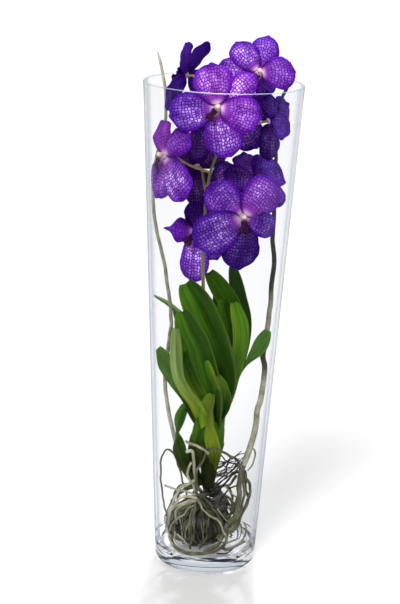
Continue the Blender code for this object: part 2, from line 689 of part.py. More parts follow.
def pedicel_route(bloom, spike):
    """From the spike, some way below the bloom, to the back of its hub."""
    facing = bloom_axes(bloom)[0]
    end = mm(bloom.centre) - facing * (HUB_HALF + 2 * GAP)
    start = min(spike, key=lambda point: (point - end + mm((0, 0, bloom.drop))).length)
    before_end = end - facing * PEDICEL_NECK
    middle = start.lerp(before_end, 0.55) - Vector((0, 0, PEDICEL_SAG))
    if bloom.round:
        return [start, *(mm(point) for point in bloom.round), before_end, end]
    return [start, middle, before_end, end]


def make_spike():
    """The flower spike with a pedicel to each bloom, all one body."""
    finish = material("spike_green", (0.22, 0.24, 0.06), 0.45)
    spike = smooth_route([mm(point) for point in SPIKE_ROUTE], SPIKE_STEPS)
    thinning = [SPIKE_RADIUS * (1 - 0.4 * index / SPIKE_STEPS) for index in range(SPIKE_STEPS)]
    bm = bmesh.new()
    add_tube(bm, spike, thinning, 6)
    pieces = [add_object("spike_piece", bm, finish)]
    for bloom in BLOOMS:
        path = smooth_route(pedicel_route(bloom, spike), PEDICEL_STEPS)
        bm = bmesh.new()
        add_tube(bm, path, [PEDICEL_RADIUS * (0.9 + 0.12 * index) for index in range(PEDICEL_STEPS)], 4)
        pieces.append(add_object("pedicel_piece", bm, finish))
    return join("flower_spike", pieces, finish)


def root_path(root, spacing):
    """A root's route read at even steps, kept inside the glass."""
    points = [mm(point) for point in root.route]
    length = sum((after - before).length for before, after in zip(points, points[1:]))
    count = max(5, round(length / spacing))
    path = smooth_route(points, count)
    margin = max(root.start, root.end) * MM + GAP
    path = [inside_vase(point, margin) for point in path]
    radii = [MM * (root.start + (root.end - root.start) * index / (count - 1)) for index in range(count)]
    return path, radii


def make_aerial_root(name, root, finish):
    """A long root that climbs along the glass, thin at its tip, cut where it meets the tangle."""
    path, radii = root_path(root, AERIAL_STEP)
    radii[0] *= 0.5
    path[-1] -= (path[-1] - path[-2]).normalized() * 2 * GAP
    bm = bmesh.new()
    add_tube(bm, path, radii, AERIAL_SIDES)
    return add_object(name, bm, finish)


def rough_ball(centre, size, amount):
    """A lumpy ball with a flat foot on the vase's floor, for the matted old roots."""
    bm = bmesh.new()
    bmesh.ops.create_icosphere(bm, subdivisions=2, radius=1.0)
    for vert in bm.verts:
        x, y, z = vert.co
        swell = 1 + amount * (math.sin(5 * x + 2 * z) + math.sin(6 * y - 3 * x) + math.sin(7 * z + 2 * y))
        vert.co = Vector((x * size[0], y * size[1], z * size[2])) * swell * MM + mm(centre)
        vert.co.z = max(vert.co.z, FLOOR + GAP)
    return bm


def back_roots():
    """Roots over the back and sides of the tangle, drawn at random from a fixed seed."""
    draw = random.Random(BACK_ROOT_SEED)
    found = []
    for index in range(BACK_ROOTS):
        turn = math.radians(-20 + 200 * (index + draw.uniform(0.2, 0.8)) / BACK_ROOTS)
        out = Vector((math.cos(turn), math.sin(turn), 0))
        reach = draw.uniform(40, 48)
        swing = Vector((-out.y, out.x, 0)) * draw.uniform(-9, 9)
        route = (
            Vector(CROWN),
            Vector(CROWN) + 18 * out + Vector((0, 0, draw.uniform(2, 12))),
            0.86 * reach * out + swing + Vector((-4, 0, draw.uniform(66, 80))),
            reach * out + swing + Vector((-4, 0, draw.uniform(42, 52))),
            0.5 * reach * out + Vector((-8, 0, 30)),
        )
        found.append(Root(draw.uniform(1.4, 2.2), draw.uniform(1.1, 1.6), route))
    return found


def make_root_tangle():
    """The matted core of old roots, the crown on it and the younger roots round it, one body."""
    finish = material("root_velamen", (0.30, 0.28, 0.19), 0.8)
    core = add_object("core_piece", rough_ball(CORE_CENTRE, CORE_SIZE, CORE_ROUGHNESS), finish)
    lump = add_object("lump_piece", rough_ball(LUMP_CENTRE, LUMP_SIZE, LUMP_ROUGHNESS), finish)
    bm = bmesh.new()
    foot = mm((CROWN[0], CROWN[1], CROWN_FOOT_Z))
    top = mm((CROWN[0], CROWN[1], CROWN_TOP_Z))
    add_tube(bm, [foot, foot.lerp(top, 0.5), top], [1.3 * CROWN_RADIUS, 1.1 * CROWN_RADIUS, CROWN_RADIUS], 9)
    pieces = [core, lump, add_object("crown_piece", bm, finish)]
    for root in (*TANGLE, *back_roots()):
        path, radii = root_path(root, TANGLE_STEP)
        bm = bmesh.new()
        add_tube(bm, path, radii, TANGLE_SIDES)
        pieces.append(add_object("root_piece", bm, finish))
    return join("root_tangle", pieces, finish)


def main():
    clear_scene()
    make_vase()
    make_root_tangle()
    velamen = material("aerial_root", (0.42, 0.43, 0.29), 0.7)
    for name, root in AERIAL_ROOTS.items():
        make_aerial_root(name, root, velamen)
    make_leafy_stem()
    make_spike()
    violet = material("tepal_violet", (0.11, 0.02, 0.36), 0.55)
    maroon = material("lip_maroon", (0.10, 0.01, 0.06), 0.5)
    cream = material("column_cream", (0.80, 0.60, 0.52), 0.5)
    for bloom in BLOOMS:
        make_tepals(bloom, violet)
        make_column(bloom, cream)
        make_lip(bloom, maroon)


main()
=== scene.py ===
"""Looks of the vanda orchid with bare roots that stands in a tall conical vase of clear glass.

Routes and sizes of leaves, roots, stalk and blooms are those of the CAD part, in millimetres.
"""

import math
import random
from typing import NamedTuple

import bmesh
import bpy
import numpy as np
from mathutils import Matrix, Vector


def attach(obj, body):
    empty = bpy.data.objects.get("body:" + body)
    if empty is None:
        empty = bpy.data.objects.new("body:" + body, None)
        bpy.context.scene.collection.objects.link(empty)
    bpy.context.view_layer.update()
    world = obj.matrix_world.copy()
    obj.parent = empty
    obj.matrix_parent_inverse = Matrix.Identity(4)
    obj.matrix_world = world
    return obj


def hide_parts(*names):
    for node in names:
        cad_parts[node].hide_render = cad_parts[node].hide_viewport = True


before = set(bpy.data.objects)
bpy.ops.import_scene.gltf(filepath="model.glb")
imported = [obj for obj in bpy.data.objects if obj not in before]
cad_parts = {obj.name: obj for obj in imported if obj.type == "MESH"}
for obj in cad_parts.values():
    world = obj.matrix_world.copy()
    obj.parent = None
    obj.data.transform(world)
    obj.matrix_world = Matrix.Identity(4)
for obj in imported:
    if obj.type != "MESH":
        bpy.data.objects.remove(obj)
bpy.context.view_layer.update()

MM = 0.001

# Camera
CAMERA_PLACE = (0.0, -1.7141, 0.8320)
CAMERA_PITCH = 0.2837  # radians that it looks down
CAMERA_TURN = -0.0106  # radians to the left
CAMERA_ROLL = 0.0388  # radians
LENS_MM = 87.54

# Vase, metres
VASE_HEIGHT = 0.600
RIM_RADIUS = 0.0944
BASE_RADIUS = 0.0632
WALL = 0.0035
FLOOR = 0.0165
FOOT_ROUND = 0.003  # radius of the edge under the foot
CAVITY_ROUND = 0.012  # radius at the bottom of the cavity
FOOT_HOLLOW = 0.0008  # how far the middle of the foot stands off the ground
VASE_SIDES = 160
WALL_STEPS = 20
ROUND_STEPS = 8
GLASS_VEIL = 0.02  # how much of the wall's mirroring shows where it is seen square on
FOOT_LINE = 0.020  # height of the painted dark line in the foot, a painted reflection of dark surroundings, where it is nearest to the front
FOOT_LINE_RISE = 0.0307  # how far that line falls away from the front to the sides
FOOT_EDGE = 0.004  # height of the thinner painted dark line below it
SHADOW_PASS = (0.81, 0.815, 0.825)  # of the light, at each face of the glass
PRESS_START = 0.93  # of the cavity's radius, where blades and roots begin to bend along the glass

# Ground that the vase stands on, metres
GROUND_RADIUS = 14
GROUND_SIDES = 64
GROUND_DROP = 0.0002  # keeps it clear of the vase's underside

# Leaves
LEAF_THICKNESS = 0.0016
LEAF_ROWS = 44
LEAF_COLUMNS = 12
LEAF_EDGE_THINNING = 0.55  # of its thickness, gone at its edges
LEAF_TIP_THINNING = 0.3  # of its thickness, gone at its tip
LEAF_TIP_START = 0.78  # of its length
LEAF_TIP_ROUNDING = 0.84  # 1 would close the tip in a half ellipse
LEAF_TIP_NOTCH = 0.25  # of its half width
LEAF_NOTCH_START = 0.93  # of its length
LEAF_WAVE = 0.0011  # how far its edges wave
TWIST_START = 0.35  # of its length
TWIST_LENGTH = 0.5
FOLD_AT_BASE = 1.4  # times the leaf's own fold
FOLD_AT_TIP = 0.5
FOLD_ROUND = 0.012  # how softly its two halves meet in the fold
FOLD_SINK = 0.11  # brings the bottom of the fold to the leaf's middle line
GREEN_BLEND = 0.12  # of its half width, where its left green changes into its right one
SEED_STEP = 7.3  # shifts the veins from leaf to leaf

# Tepals and what stands in the middle of a bloom
TEPAL_THICKNESS = 0.0010
TEPAL_THINNING = 0.45  # of its thickness, gone at its edges and tip
TEPAL_ROWS = 36
TEPAL_COLUMNS = 24
TEPAL_WIDEST = 0.58  # of its length
TEPAL_DOME = 0.16  # how far its edges lie back, as a share of its half width
TEPAL_SWELL = 0.05  # how far its middle stands forward, as a share of its length
TEPAL_CORNER = 0.06  # how far its tip's corners fall short
TEPAL_GROOVE = 0.0011  # depth of the groove along its middle
CLAW_START = 0.0036
CLAW_WIDTH = 0.20  # of the full width
ROUND_BASE = 0.80  # how much of a petal's base is round rather than drawn into its claw
HUB_RADIUS = 0.0048
HUB_HALF = 0.0024
SEPAL_STEP = 0.0015
RUFFLE = 0.0016  # how far the petals' edges wave
CELL_ALONG = 3.8  # mm between the cross veins of a petal
CELL_ACROSS = 2.7
NET_CENTRE = 6  # mm behind the claw, where the lengthwise veins would meet
NET_RADIUS = 26  # mm from there, where those veins lie CELL_ACROSS apart
NET_SPREAD = 0.65  # how freely they spread: 1 as rays, 0 side by side
COLUMN_LENGTH = 0.0075
COLUMN_RADIUS = 0.0026
COLUMN_SHIFT = 0.0012
COLUMN_BEND = 0.0007  # how far its cap leans towards the lip
LIP_LENGTH = 0.016
LIP_WIDTH = 0.010
LIP_THICKNESS = 0.0012
LIP_START = 0.0024
LIP_RISE = 0.006
LIP_WIDTHS = ((0, 0.5), (0.12, 0.75), (0.28, 0.72), (0.48, 0.45), (0.75, 1.0), (0.92, 0.85), (1, 0.4))
COLUMN_WIDTHS = ((0.0, 0.80), (0.25, 0.78), (0.55, 0.95), (0.78, 1.0), (0.92, 0.82), (1.0, 0.45))

# Stem in metres; the gap, the stalk and the roots below in millimetres
STEM_FOOT = 0.0903  # height of its lower end
STEM_ROWS = 60
STEM_SIDES = 28
STEM_SKIN = 0.0012
STEM_RINGS = 7  # where old leaves grew
GAP = 0.3  # between pieces that touch
SPIKE_RADIUS = 2.6
SPIKE_TIP = 0.62  # of its radius
PEDICEL_RADIUS = 1.3
PEDICEL_ENDS = (1.25, 1.1)  # times its radius, at the stalk and at the bloom
PEDICEL_NECK = 10
PEDICEL_SAG = 2

# Roots
CROWN = (-2, -4, 80)
CORE_CENTRE = (-11, 0, 43)
CORE_SIZE = (39, 36, 29)
LUMP_CENTRE = (17, -6, 72)
LUMP_SIZE = (11, 12, 12)
BACK_ROOTS = 9
BACK_ROOT_SEED = 7
MAT_FIBRES = 70
MAT_SEED = 31
CROWN_ROOTLETS = 8
CROWN_SEED = 12
FRONT_ROOTLETS = 30
FRONT_SEED = 23
SIDE_ROOTLETS = 10
SIDE_SEED = 31
FINE_LUMPS = 0.012  # height of the core's small lumps, as a share of its size
LONG_ROOT_TIP = 0.35  # of its radius, where a long root begins
LONG_ROOT_WIDENING = 40  # how fast it reaches its full radius along its length
PALE_SIDE_TURN = -95  # degrees round the core, past which its small roots are cream
SKIN_TONES = {  # how pale the long roots are at each height in metres
    "aerial_root_left": ((0.10, 0.80), (0.20, 0.78), (0.34, 0.66), (0.50, 0.62), (0.63, 0.72)),
    "aerial_root_right": ((0.12, 0.74), (0.235, 0.74), (0.25, 0.25), (0.27, 0.3), (0.285, 0.72),
                          (0.33, 0.66), (0.36, 0.22), (0.60, 0.16), (0.63, 0.5)),
}


class Leaf(NamedTuple):
    """A strap leaf: its middle line, full width, the way it faces, its fold and its greens.

    It widens from `neck` of its width at the share `waist` of its length to its full width at `full`.
    """

    name: str
    width: float
    facing: float
    pitch: float
    fold: float
    route: tuple
    neck: float = 0.5
    full: float = 0.35
    twist: float = 0.0
    waist: float = 0.0
    greens: tuple = ("mid", "deep", "mid", "mid")  # base left, base right, tip left, tip right; beside the leaf's own greens they paint light and shade on its halves and ends


LEAVES = (
    Leaf("front_tall", 39, -12, 10, 0.25,
         ((8, -4, 180), (13, -16, 232), (5, -26, 280), (-14, -28, 325), (-37, -20, 362)),
         greens=("deep", "deep", "mid", "deep")),
    Leaf("front_left", 37, -22, 12, 0.30,
         ((6, -4, 165), (-2, -24, 228), (-17, -36, 283), (-29, -42, 309), (-39, -40, 333)),
         greens=("mid", "deep", "mid", "deep")),
    Leaf("left_low", 23, -20, 25, 0.30,
         ((2, -2, 150), (-22, -10, 208), (-42, -16, 237), (-58, -20, 262), (-68, -20, 278)),
         greens=("deep", "mid", "mid", "mid")),
    Leaf("left_pale", 19, -30, 5, 0.30,
         ((4, -4, 140), (-14, -22, 203), (-31, -38, 233), (-41, -44, 259), (-45, -42, 311)),
         greens=("yellow", "yellow", "pale", "dusty")),
    Leaf("left_inner", 22, -15, 5, 0.25,
         ((5, -4, 150), (-10, -18, 208), (-24, -30, 240), (-34, -34, 266), (-40, -32, 290)),
         greens=("yellow", "lime", "mid", "deep")),
    Leaf("left_arching", 9, -10, 75, 0.30,
         ((6, 2, 185), (-12, 10, 262), (-33, 10, 301), (-55, 8, 324), (-77, 6, 337)),
         greens=("deep", "deep", "mid", "pale")),
    Leaf("left_behind", 18, 10, 0, 0.30,
         ((6, 4, 180), (-14, 18, 253), (-34, 18, 292), (-48, 14, 317)),
         greens=("deep", "deep", "mid", "mid")),
    Leaf("back_mid", 27, -15, 5, 0.25,
         ((10, 2, 200), (25, 12, 262), (23, 14, 316), (8, 14, 344), (-9, 12, 368)),
         greens=("deep", "deep", "mid", "mid")),
    Leaf("back_right", 21, 25, -5, 0.30,
         ((10, 4, 185), (30, 24, 250), (36, 30, 297), (28, 30, 334), (19, 28, 372)),
         greens=("deep", "deep", "blue", "deep")),
    Leaf("right_lit", 22, 30, 5, 0.40,
         ((8, -2, 170), (21, -8, 232), (31, -10, 276), (31, -10, 307), (22, -8, 336)),
         greens=("deep", "mid", "lime", "bright")),
    Leaf("mid_dark", 22, 0, 5, 0.35,
         ((8, -2, 175), (20, -2, 234), (22, 0, 279), (16, 2, 310), (9, 2, 337)),
         greens=("deep", "blue", "mid", "deep")),
    Leaf("right_small", 19, 65, 10, 0.20,
         ((10, 0, 190), (33, 4, 238), (45, 2, 260), (56, 0, 277), (66, -6, 302)), 0.30, 0.85, -60, 0.5,
         greens=("mid", "deep", "mid", "mid")),
    Leaf("inner_lit", 9, -20, 20, 0.35,
         ((10, -6, 185), (8, -30, 228), (0, -40, 253), (-7, -46, 273)),
         greens=("deep", "olive", "mid", "lime")),
    Leaf("inner_olive", 11, -10, 20, 0.35,
         ((11, -6, 178), (20, -22, 212), (15, -34, 236), (7, -44, 254)),
         greens=("deep", "deep", "olive", "mid")),
    Leaf("front_low", 18, -10, 15, 0.30,
         ((7, -10, 118), (8, -20, 142), (4, -22, 160), (-3, -23, 182), (-5, -26, 204), (1, -28, 225)),
         greens=("yellow", "yellow", "lime", "olive")),
    Leaf("left_curled", 17, -15, 5, 0.25,
         ((0, -3, 98), (-18, -10, 110), (-33, -16, 136), (-41, -20, 165),
          (-39, -18, 184), (-33, -12, 198), (-24, -6, 199)), 0.8, 0.2, 150,
         greens=("olive", "deep", "deep", "mid")),
    Leaf("low_centre", 15, -15, 10, 0.25,
         ((6, -4, 185), (-3, -14, 192), (-12, -21, 180), (-16, -22, 158)),
         greens=("deep", "deep", "deep", "mid")),
    Leaf("old_base", 20, -15, 5, 0.20,
         ((-6, -4, 101), (-17, -10, 110), (-20, -12, 124), (-16, -13, 146), (-13, -12, 172)), 0.6, 0.3,
         greens=("olive", "deep", "brown", "olive")),
    Leaf("rear_left", 24, 160, 5, 0.30,
         ((8, 4, 165), (2, 20, 225), (-12, 36, 275), (-20, 44, 318))),
    Leaf("rear_right", 26, 190, 5, 0.30,
         ((9, 4, 175), (16, 24, 240), (14, 42, 290), (4, 50, 335))),
)

# Greens as linear light; beside the leaves' own greens they hold painted light and shade, a lighter green
# for a leaf's half or end in light and a darker one for one in shade
GREENS = {
    "deep": (0.018, 0.058, 0.003),
    "blue": (0.018, 0.052, 0.010),
    "mid": (0.044, 0.135, 0.004),
    "bright": (0.066, 0.180, 0.006),
    "lime": (0.100, 0.205, 0.008),
    "yellow": (0.180, 0.260, 0.012),
    "olive": (0.085, 0.110, 0.012),
    "brown": (0.050, 0.048, 0.014),
    "pale": (0.200, 0.300, 0.080),
    "dusty": (0.105, 0.178, 0.042),
}

STEM_ROUTE = (
    (1, -2, 90), (1, -2, 112), (2, -3, 132), (4, -3, 156), (8, -3, 185), (11, -1, 214), (13, 0, 232),
)
STEM_RADII = (6.8, 12.5, 15.5, 13.0, 8.2, 5.4, 3.5)

SPIKE_ROUTE = (
    (2.1, -5.7, 205.5), (-6, -9.5, 222), (-11, -11, 250), (-13, -14, 301), (-15, -16, 358), (-17, -20, 400),
    (-16, -17, 442), (-14, -7, 484), (-6, 0, 512), (-2, 2, 560), (2, 3, 598),
)


class Tepal(NamedTuple):
    """One petal or sepal: place, size and lean, how magenta and netted it is, and how light it is, a
    brightness that paints the light and shade falling on it.
    """

    angle: float
    length: float
    width: float
    lean: float = 0.0
    curl: float = 0.12
    point: float = 0.0
    magenta: float = 0.3
    netted: float = 0.8
    # Painted light and shade: above 1 lightens the whole tepal as if lit, below 1 darkens it as if in
    # shade.
    light: float = 1.0


class Bloom(NamedTuple):
    """One flower: the point that its tepals grow from, the way it faces, its lip and tepals."""

    name: str
    centre: tuple
    facing: float
    pitch: float
    lip: float
    tepals: tuple
    drop: float = 22
    round: tuple = ()


BLOOMS = (
    Bloom("front_top", (-6, -46, 577), -2, 14, 236, (
        Tepal(44, 58, 31, magenta=0.6, netted=0.9, light=1.1),
        Tepal(103, 52, 46, magenta=0.6, netted=0.8),
        Tepal(-12, 51, 43, magenta=0.55, netted=0.8, light=1.15),
        Tepal(190, 57, 45, magenta=0.15, netted=1.0),
        Tepal(-76, 58, 45, magenta=0.3, netted=1.0, light=1.1))),
    Bloom("upper_right", (39, -10, 613), 8, 26, 240, (
        Tepal(72, 51, 34, magenta=0.2, netted=0.6),
        Tepal(124, 46, 34, magenta=0.3, netted=0.8),
        Tepal(3, 45, 40, magenta=0.4, netted=0.7),
        Tepal(-40, 36, 36, -35, magenta=0.1, netted=0.3, light=0.8),
        Tepal(172, 48, 34, magenta=0.4, netted=0.9))),
    Bloom("upper_left", (-45, 24, 603), -122, 5, -15, (
        Tepal(67, 45, 27, magenta=0.05, netted=0.15, light=1.45),
        Tepal(24, 24, 16, magenta=0.0, netted=0.1, light=1.2),
        Tepal(135, 52, 25, magenta=0.0, netted=0.1, light=1.25),
        Tepal(205, 42, 32, magenta=0.0, netted=0.2, light=1.5),
        Tepal(-32, 60, 34, magenta=0.0, netted=0.3, light=1.6))),
    Bloom("left", (-66, -33, 517), -50, 8, 262, (
        Tepal(121, 44, 34, magenta=1.0, netted=0.3),
        Tepal(46, 43, 34, -9, magenta=0.5, netted=0.4),
        Tepal(168, 34, 26, -50, magenta=0.4, netted=0.4),
        Tepal(-48, 60, 48, magenta=0.4, netted=1.0, light=1.1),
        Tepal(-104, 54, 42, magenta=0.5, netted=0.7))),
    Bloom("front_low", (29, -48, 451), 6, 8, 270, (
        Tepal(140, 55, 43, magenta=0.25, netted=0.7, light=0.95),
        Tepal(51, 57, 46, magenta=0.5, netted=0.9),
        Tepal(211, 66, 50, magenta=0.1, netted=0.9, light=0.85),
        Tepal(-20, 42, 30, 12, magenta=0.1, netted=0.7, light=0.75),
        Tepal(-94, 63, 46, magenta=0.0, netted=0.6, light=0.42))),
    Bloom("low_left", (-27, -4, 421), 0, 0, 235, (
        Tepal(92, 36, 27, magenta=0.1, netted=0.2, light=0.7),
        Tepal(175, 38, 33, 8, 0.12, 0.8, magenta=0.3, netted=0.1, light=1.3),
        Tepal(50, 30, 24, -8),
        Tepal(-89.5, 67, 35, magenta=0.3, netted=1.0, light=1.5),
        Tepal(-54, 55, 31, -19)), 2, ((-10, -7, 420), (-13, 6, 419))),
    Bloom("right_high", (55, 5, 556), 130, 5, 270, (
        Tepal(100, 38, 32, magenta=0.1, netted=0.4),
        Tepal(146, 47, 34, magenta=0.05, netted=0.25, light=1.4),
        Tepal(36, 36, 30, magenta=0.1, netted=0.4),
        Tepal(-176, 47, 36, 0, 0.12, 0.4, magenta=0.05, netted=0.25, light=1.3),
        Tepal(-97, 46, 38, magenta=0.1, netted=0.5, light=0.9))),
    Bloom("right_mid", (46, -11, 481), 36, 40, 250, (
        Tepal(86, 50, 46, magenta=0.3, netted=0.6, light=1.2),
        Tepal(150, 46, 34, magenta=0.2, netted=0.6, light=0.8),
        Tepal(38, 54, 50, magenta=0.05, netted=0.35, light=1.1),
        Tepal(-24, 41, 36, magenta=0.1, netted=0.6),
        Tepal(215, 34, 28, magenta=0.3, netted=0.6))),
    Bloom("inner_left", (-29, 28, 494), -150, 5, 270, (
        Tepal(90, 52, 38, light=0.7), Tepal(25, 44, 34, light=0.7), Tepal(150, 44, 34, light=0.7),
        Tepal(-38, 48, 36, light=0.7), Tepal(-100, 52, 40, light=0.7))),
    Bloom("rear_high", (14, 50, 555), 172, 12, 270, (
        Tepal(92, 46, 34), Tepal(29, 45, 37), Tepal(155, 47, 36), Tepal(-43, 50, 40),
        Tepal(-127, 49, 42))),
    Bloom("rear_low", (8, 48, 455), 182, 4, 270, (
        Tepal(88, 45, 35), Tepal(23, 46, 38), Tepal(150, 45, 36), Tepal(-48, 51, 40),
        Tepal(-131, 49, 41))),
)


class Root(NamedTuple):
    """One root: its radius at start and end in millimetres, its route and how pale it starts and ends."""

    start: float
    end: float
    route: tuple
    pale: float = 0.6
    pale_end: float = 0.6


AERIAL_ROOTS = {
    "aerial_root_left": Root(1.7, 2.7, (
        (-79, 10, 631), (-75, 8, 618), (-71, 8, 601), (-68, 5, 585), (-67, 5, 551), (-75, 10, 517),
        (-82, 4, 462), (-80, -2, 450), (-75, -6, 431), (-71, -8, 412), (-64, -9, 386), (-59, -9, 358),
        (-55, -10, 337), (-52, -8, 306), (-54, -4, 285), (-58, -2, 237), (-53, -2, 195),
        (-46, -2, 165), (-38, 2, 135), (-27, 2, 110))),
    "aerial_root_right": Root(1.8, 4.0, (
        (77, 20, 624), (76, 20, 598), (69, 37, 577), (65, 47, 545), (67, 42, 500), (67, 26, 419),
        (68, 22, 397), (71, 20, 376), (69, 20, 356), (69, 18, 333), (67, 18, 298), (62, 16, 263),
        (67, 15, 247), (67, 15, 233), (65, 14, 219), (61, 12, 201), (58, 10, 191), (57, 8, 167),
        (50, 3, 139), (44, -2, 122))),
}

FORK = (44, -2, 122)

TANGLE = (
    Root(2.6, 2.4, ((-27, 2, 110), (-24.6, 2, 104.5), (-16, 0, 94), CROWN), 0.6, 0.45),
    Root(3.8, 2.2, (FORK, (42, -3.6, 116.5), (40, -8, 98), (41, -20, 79), (35, -30, 65), (26, -36, 54),
        (15, -46, 33), (-1, -50, 24)), 0.34, 0.55),
    Root(1.8, 1.6, ((42, -5, 110), (47, -3, 92), (45, -10, 72), (38, -24, 57), (28, -36, 42),
        (12, -26, 36)), 0.5, 0.6),
    Root(2.0, 1.6, ((43, -3, 113), (54, 6, 90), (52, 6, 69), (45, -6, 57), (38, -20, 43), (22, -14, 38)),
        0.45, 0.5),
    Root(1.3, 1.1, ((-20, 6, 58), (-33, 4, 102), (-43, -4, 134), (-52, -12, 144), (-58, -15, 134),
        (-60, -16, 114), (-57, -18, 97), (-54, -20, 80), (-50, -24, 62), (-36, -16, 46)), 0.5, 0.55),
    Root(1.6, 1.8, ((-4, -30, 151), (8, -31, 155), (17, -30, 150), (28, -21, 141), (37, -9, 131),
        (43, -5, 116), (42, -9, 100), (39, -14, 84), (33, -24, 70), (26, -32, 62)), 0.42, 0.35),
    Root(2.0, 1.2, ((-28, -25, 146), (-20, -25, 147), (-18, -25, 132), (-16, -25, 117), (-14, -24, 101),
        (-14, -25, 89), (-14, -31, 78), (-16, -36, 65), (-17, -39, 51), (-17, -39, 35), (-19, -38, 24)),
        0.8, 0.35),
    Root(1.5, 1.5, ((-21, -26, 133), (-26, -27, 122), (-25, -27, 114), (-18, -26, 105), (-14, -23, 90),
        CROWN), 0.75, 0.7),
    Root(1.5, 1.7, ((-3, -30, 150), (-7, -28, 135), (-11, -26, 129), (-14, -26, 117), (-13, -25, 101),
        (-13, -23, 88), CROWN), 0.35, 0.55),
    Root(1.8, 1.5, ((-29, -26, 161), (-20, -29, 158), (-8, -31, 154), (-3, -31, 150), (0, -31, 147)),
        0.75, 0.75),
    Root(1.3, 1.4, ((-53, -24, 100), (-39, -26, 96), (-28, -27, 94), (-15, -25, 89)), 0.75, 0.8),
    Root(1.9, 1.5, ((-14, -24, 109), (-22, -26, 106), (-33, -29, 100), (-37, -31, 92), (-42, -36, 81),
        (-50, -41, 68), (-46, -34, 52)), 0.85, 0.75),
    Root(2.1, 1.5, ((-13, -28, 86), (-23, -29, 88), (-32, -33, 89), (-37, -36, 84), (-43, -39, 76),
        (-48, -41, 70)), 0.85, 0.8),
    Root(1.6, 1.3, ((-13, -29, 83), (-23, -31, 84), (-31, -35, 82), (-40, -38, 77), (-49, -42, 65),
        (-48, -38, 52)), 0.8, 0.75),
    Root(1.3, 1.2, ((-13, -30, 83), (-23, -32, 82), (-30, -35, 80), (-37, -39, 72), (-38, -40, 62),
        (-36, -34, 54)), 0.75, 0.7),
    Root(1.3, 1.2, ((-15, -32, 78), (-22, -34, 75), (-28, -38, 67), (-37, -40, 61), (-43, -39, 53),
        (-45, -38, 45)), 0.7, 0.6),
    Root(1.5, 1.4, ((-13, -24, 91), (-2, -26, 86), (5, -29, 80), (7, -32, 75), (13, -34, 71),
        (16, -36, 65), (22, -38, 56)), 0.4, 0.35),
    Root(1.4, 1.3, ((-14, -27, 87), (-7, -30, 80), (-4, -34, 74), (3, -37, 69), (9, -39, 66),
        (16, -41, 62), (21, -44, 52), (25, -46, 46)), 0.6, 0.8),
    Root(1.6, 1.3, ((-14, -26, 89), (-14, -34, 76), (-14, -39, 61), (-14, -42, 47), (-17, -44, 33),
        (-18, -46, 25)), 0.45, 0.35),
    Root(2.3, 2.1, ((-44, -36, 38), (-40, -42, 27), (-27, -48, 23), (-14, -52, 21), (-1, -54, 23),
        (13, -53, 27), (23, -49, 34), (27, -44, 46), (26, -38, 52)), 0.5, 0.45),
    Root(2.2, 1.8, ((20, -49, 31), (27, -46, 27), (37, -41, 29), (50, -30, 31)), 0.5, 0.55),
    Root(2.0, 1.7, ((46, -2, 115), (48, -2, 105), (49, 0, 88), (52, 0, 77), (48, -9, 66), (40, -24, 54),
        (34, -38, 47)), 0.3, 0.4),
    Root(1.2, 1.0, ((3, -8, 83), (13, -14, 90), (22, -13, 102), (34, -8, 114), (42, -4, 110)), 0.1, 0.1),
    Root(1.1, 1.0, ((3, -8, 80), (14, -6, 86), (24, -3, 100), (34, -1, 112), (42, -4, 112)), 0.1, 0.1),
    Root(1.1, 1.0, ((3, -10, 76), (14, -14, 78), (28, -10, 92), (40, -9, 98)), 0.1, 0.1),
)

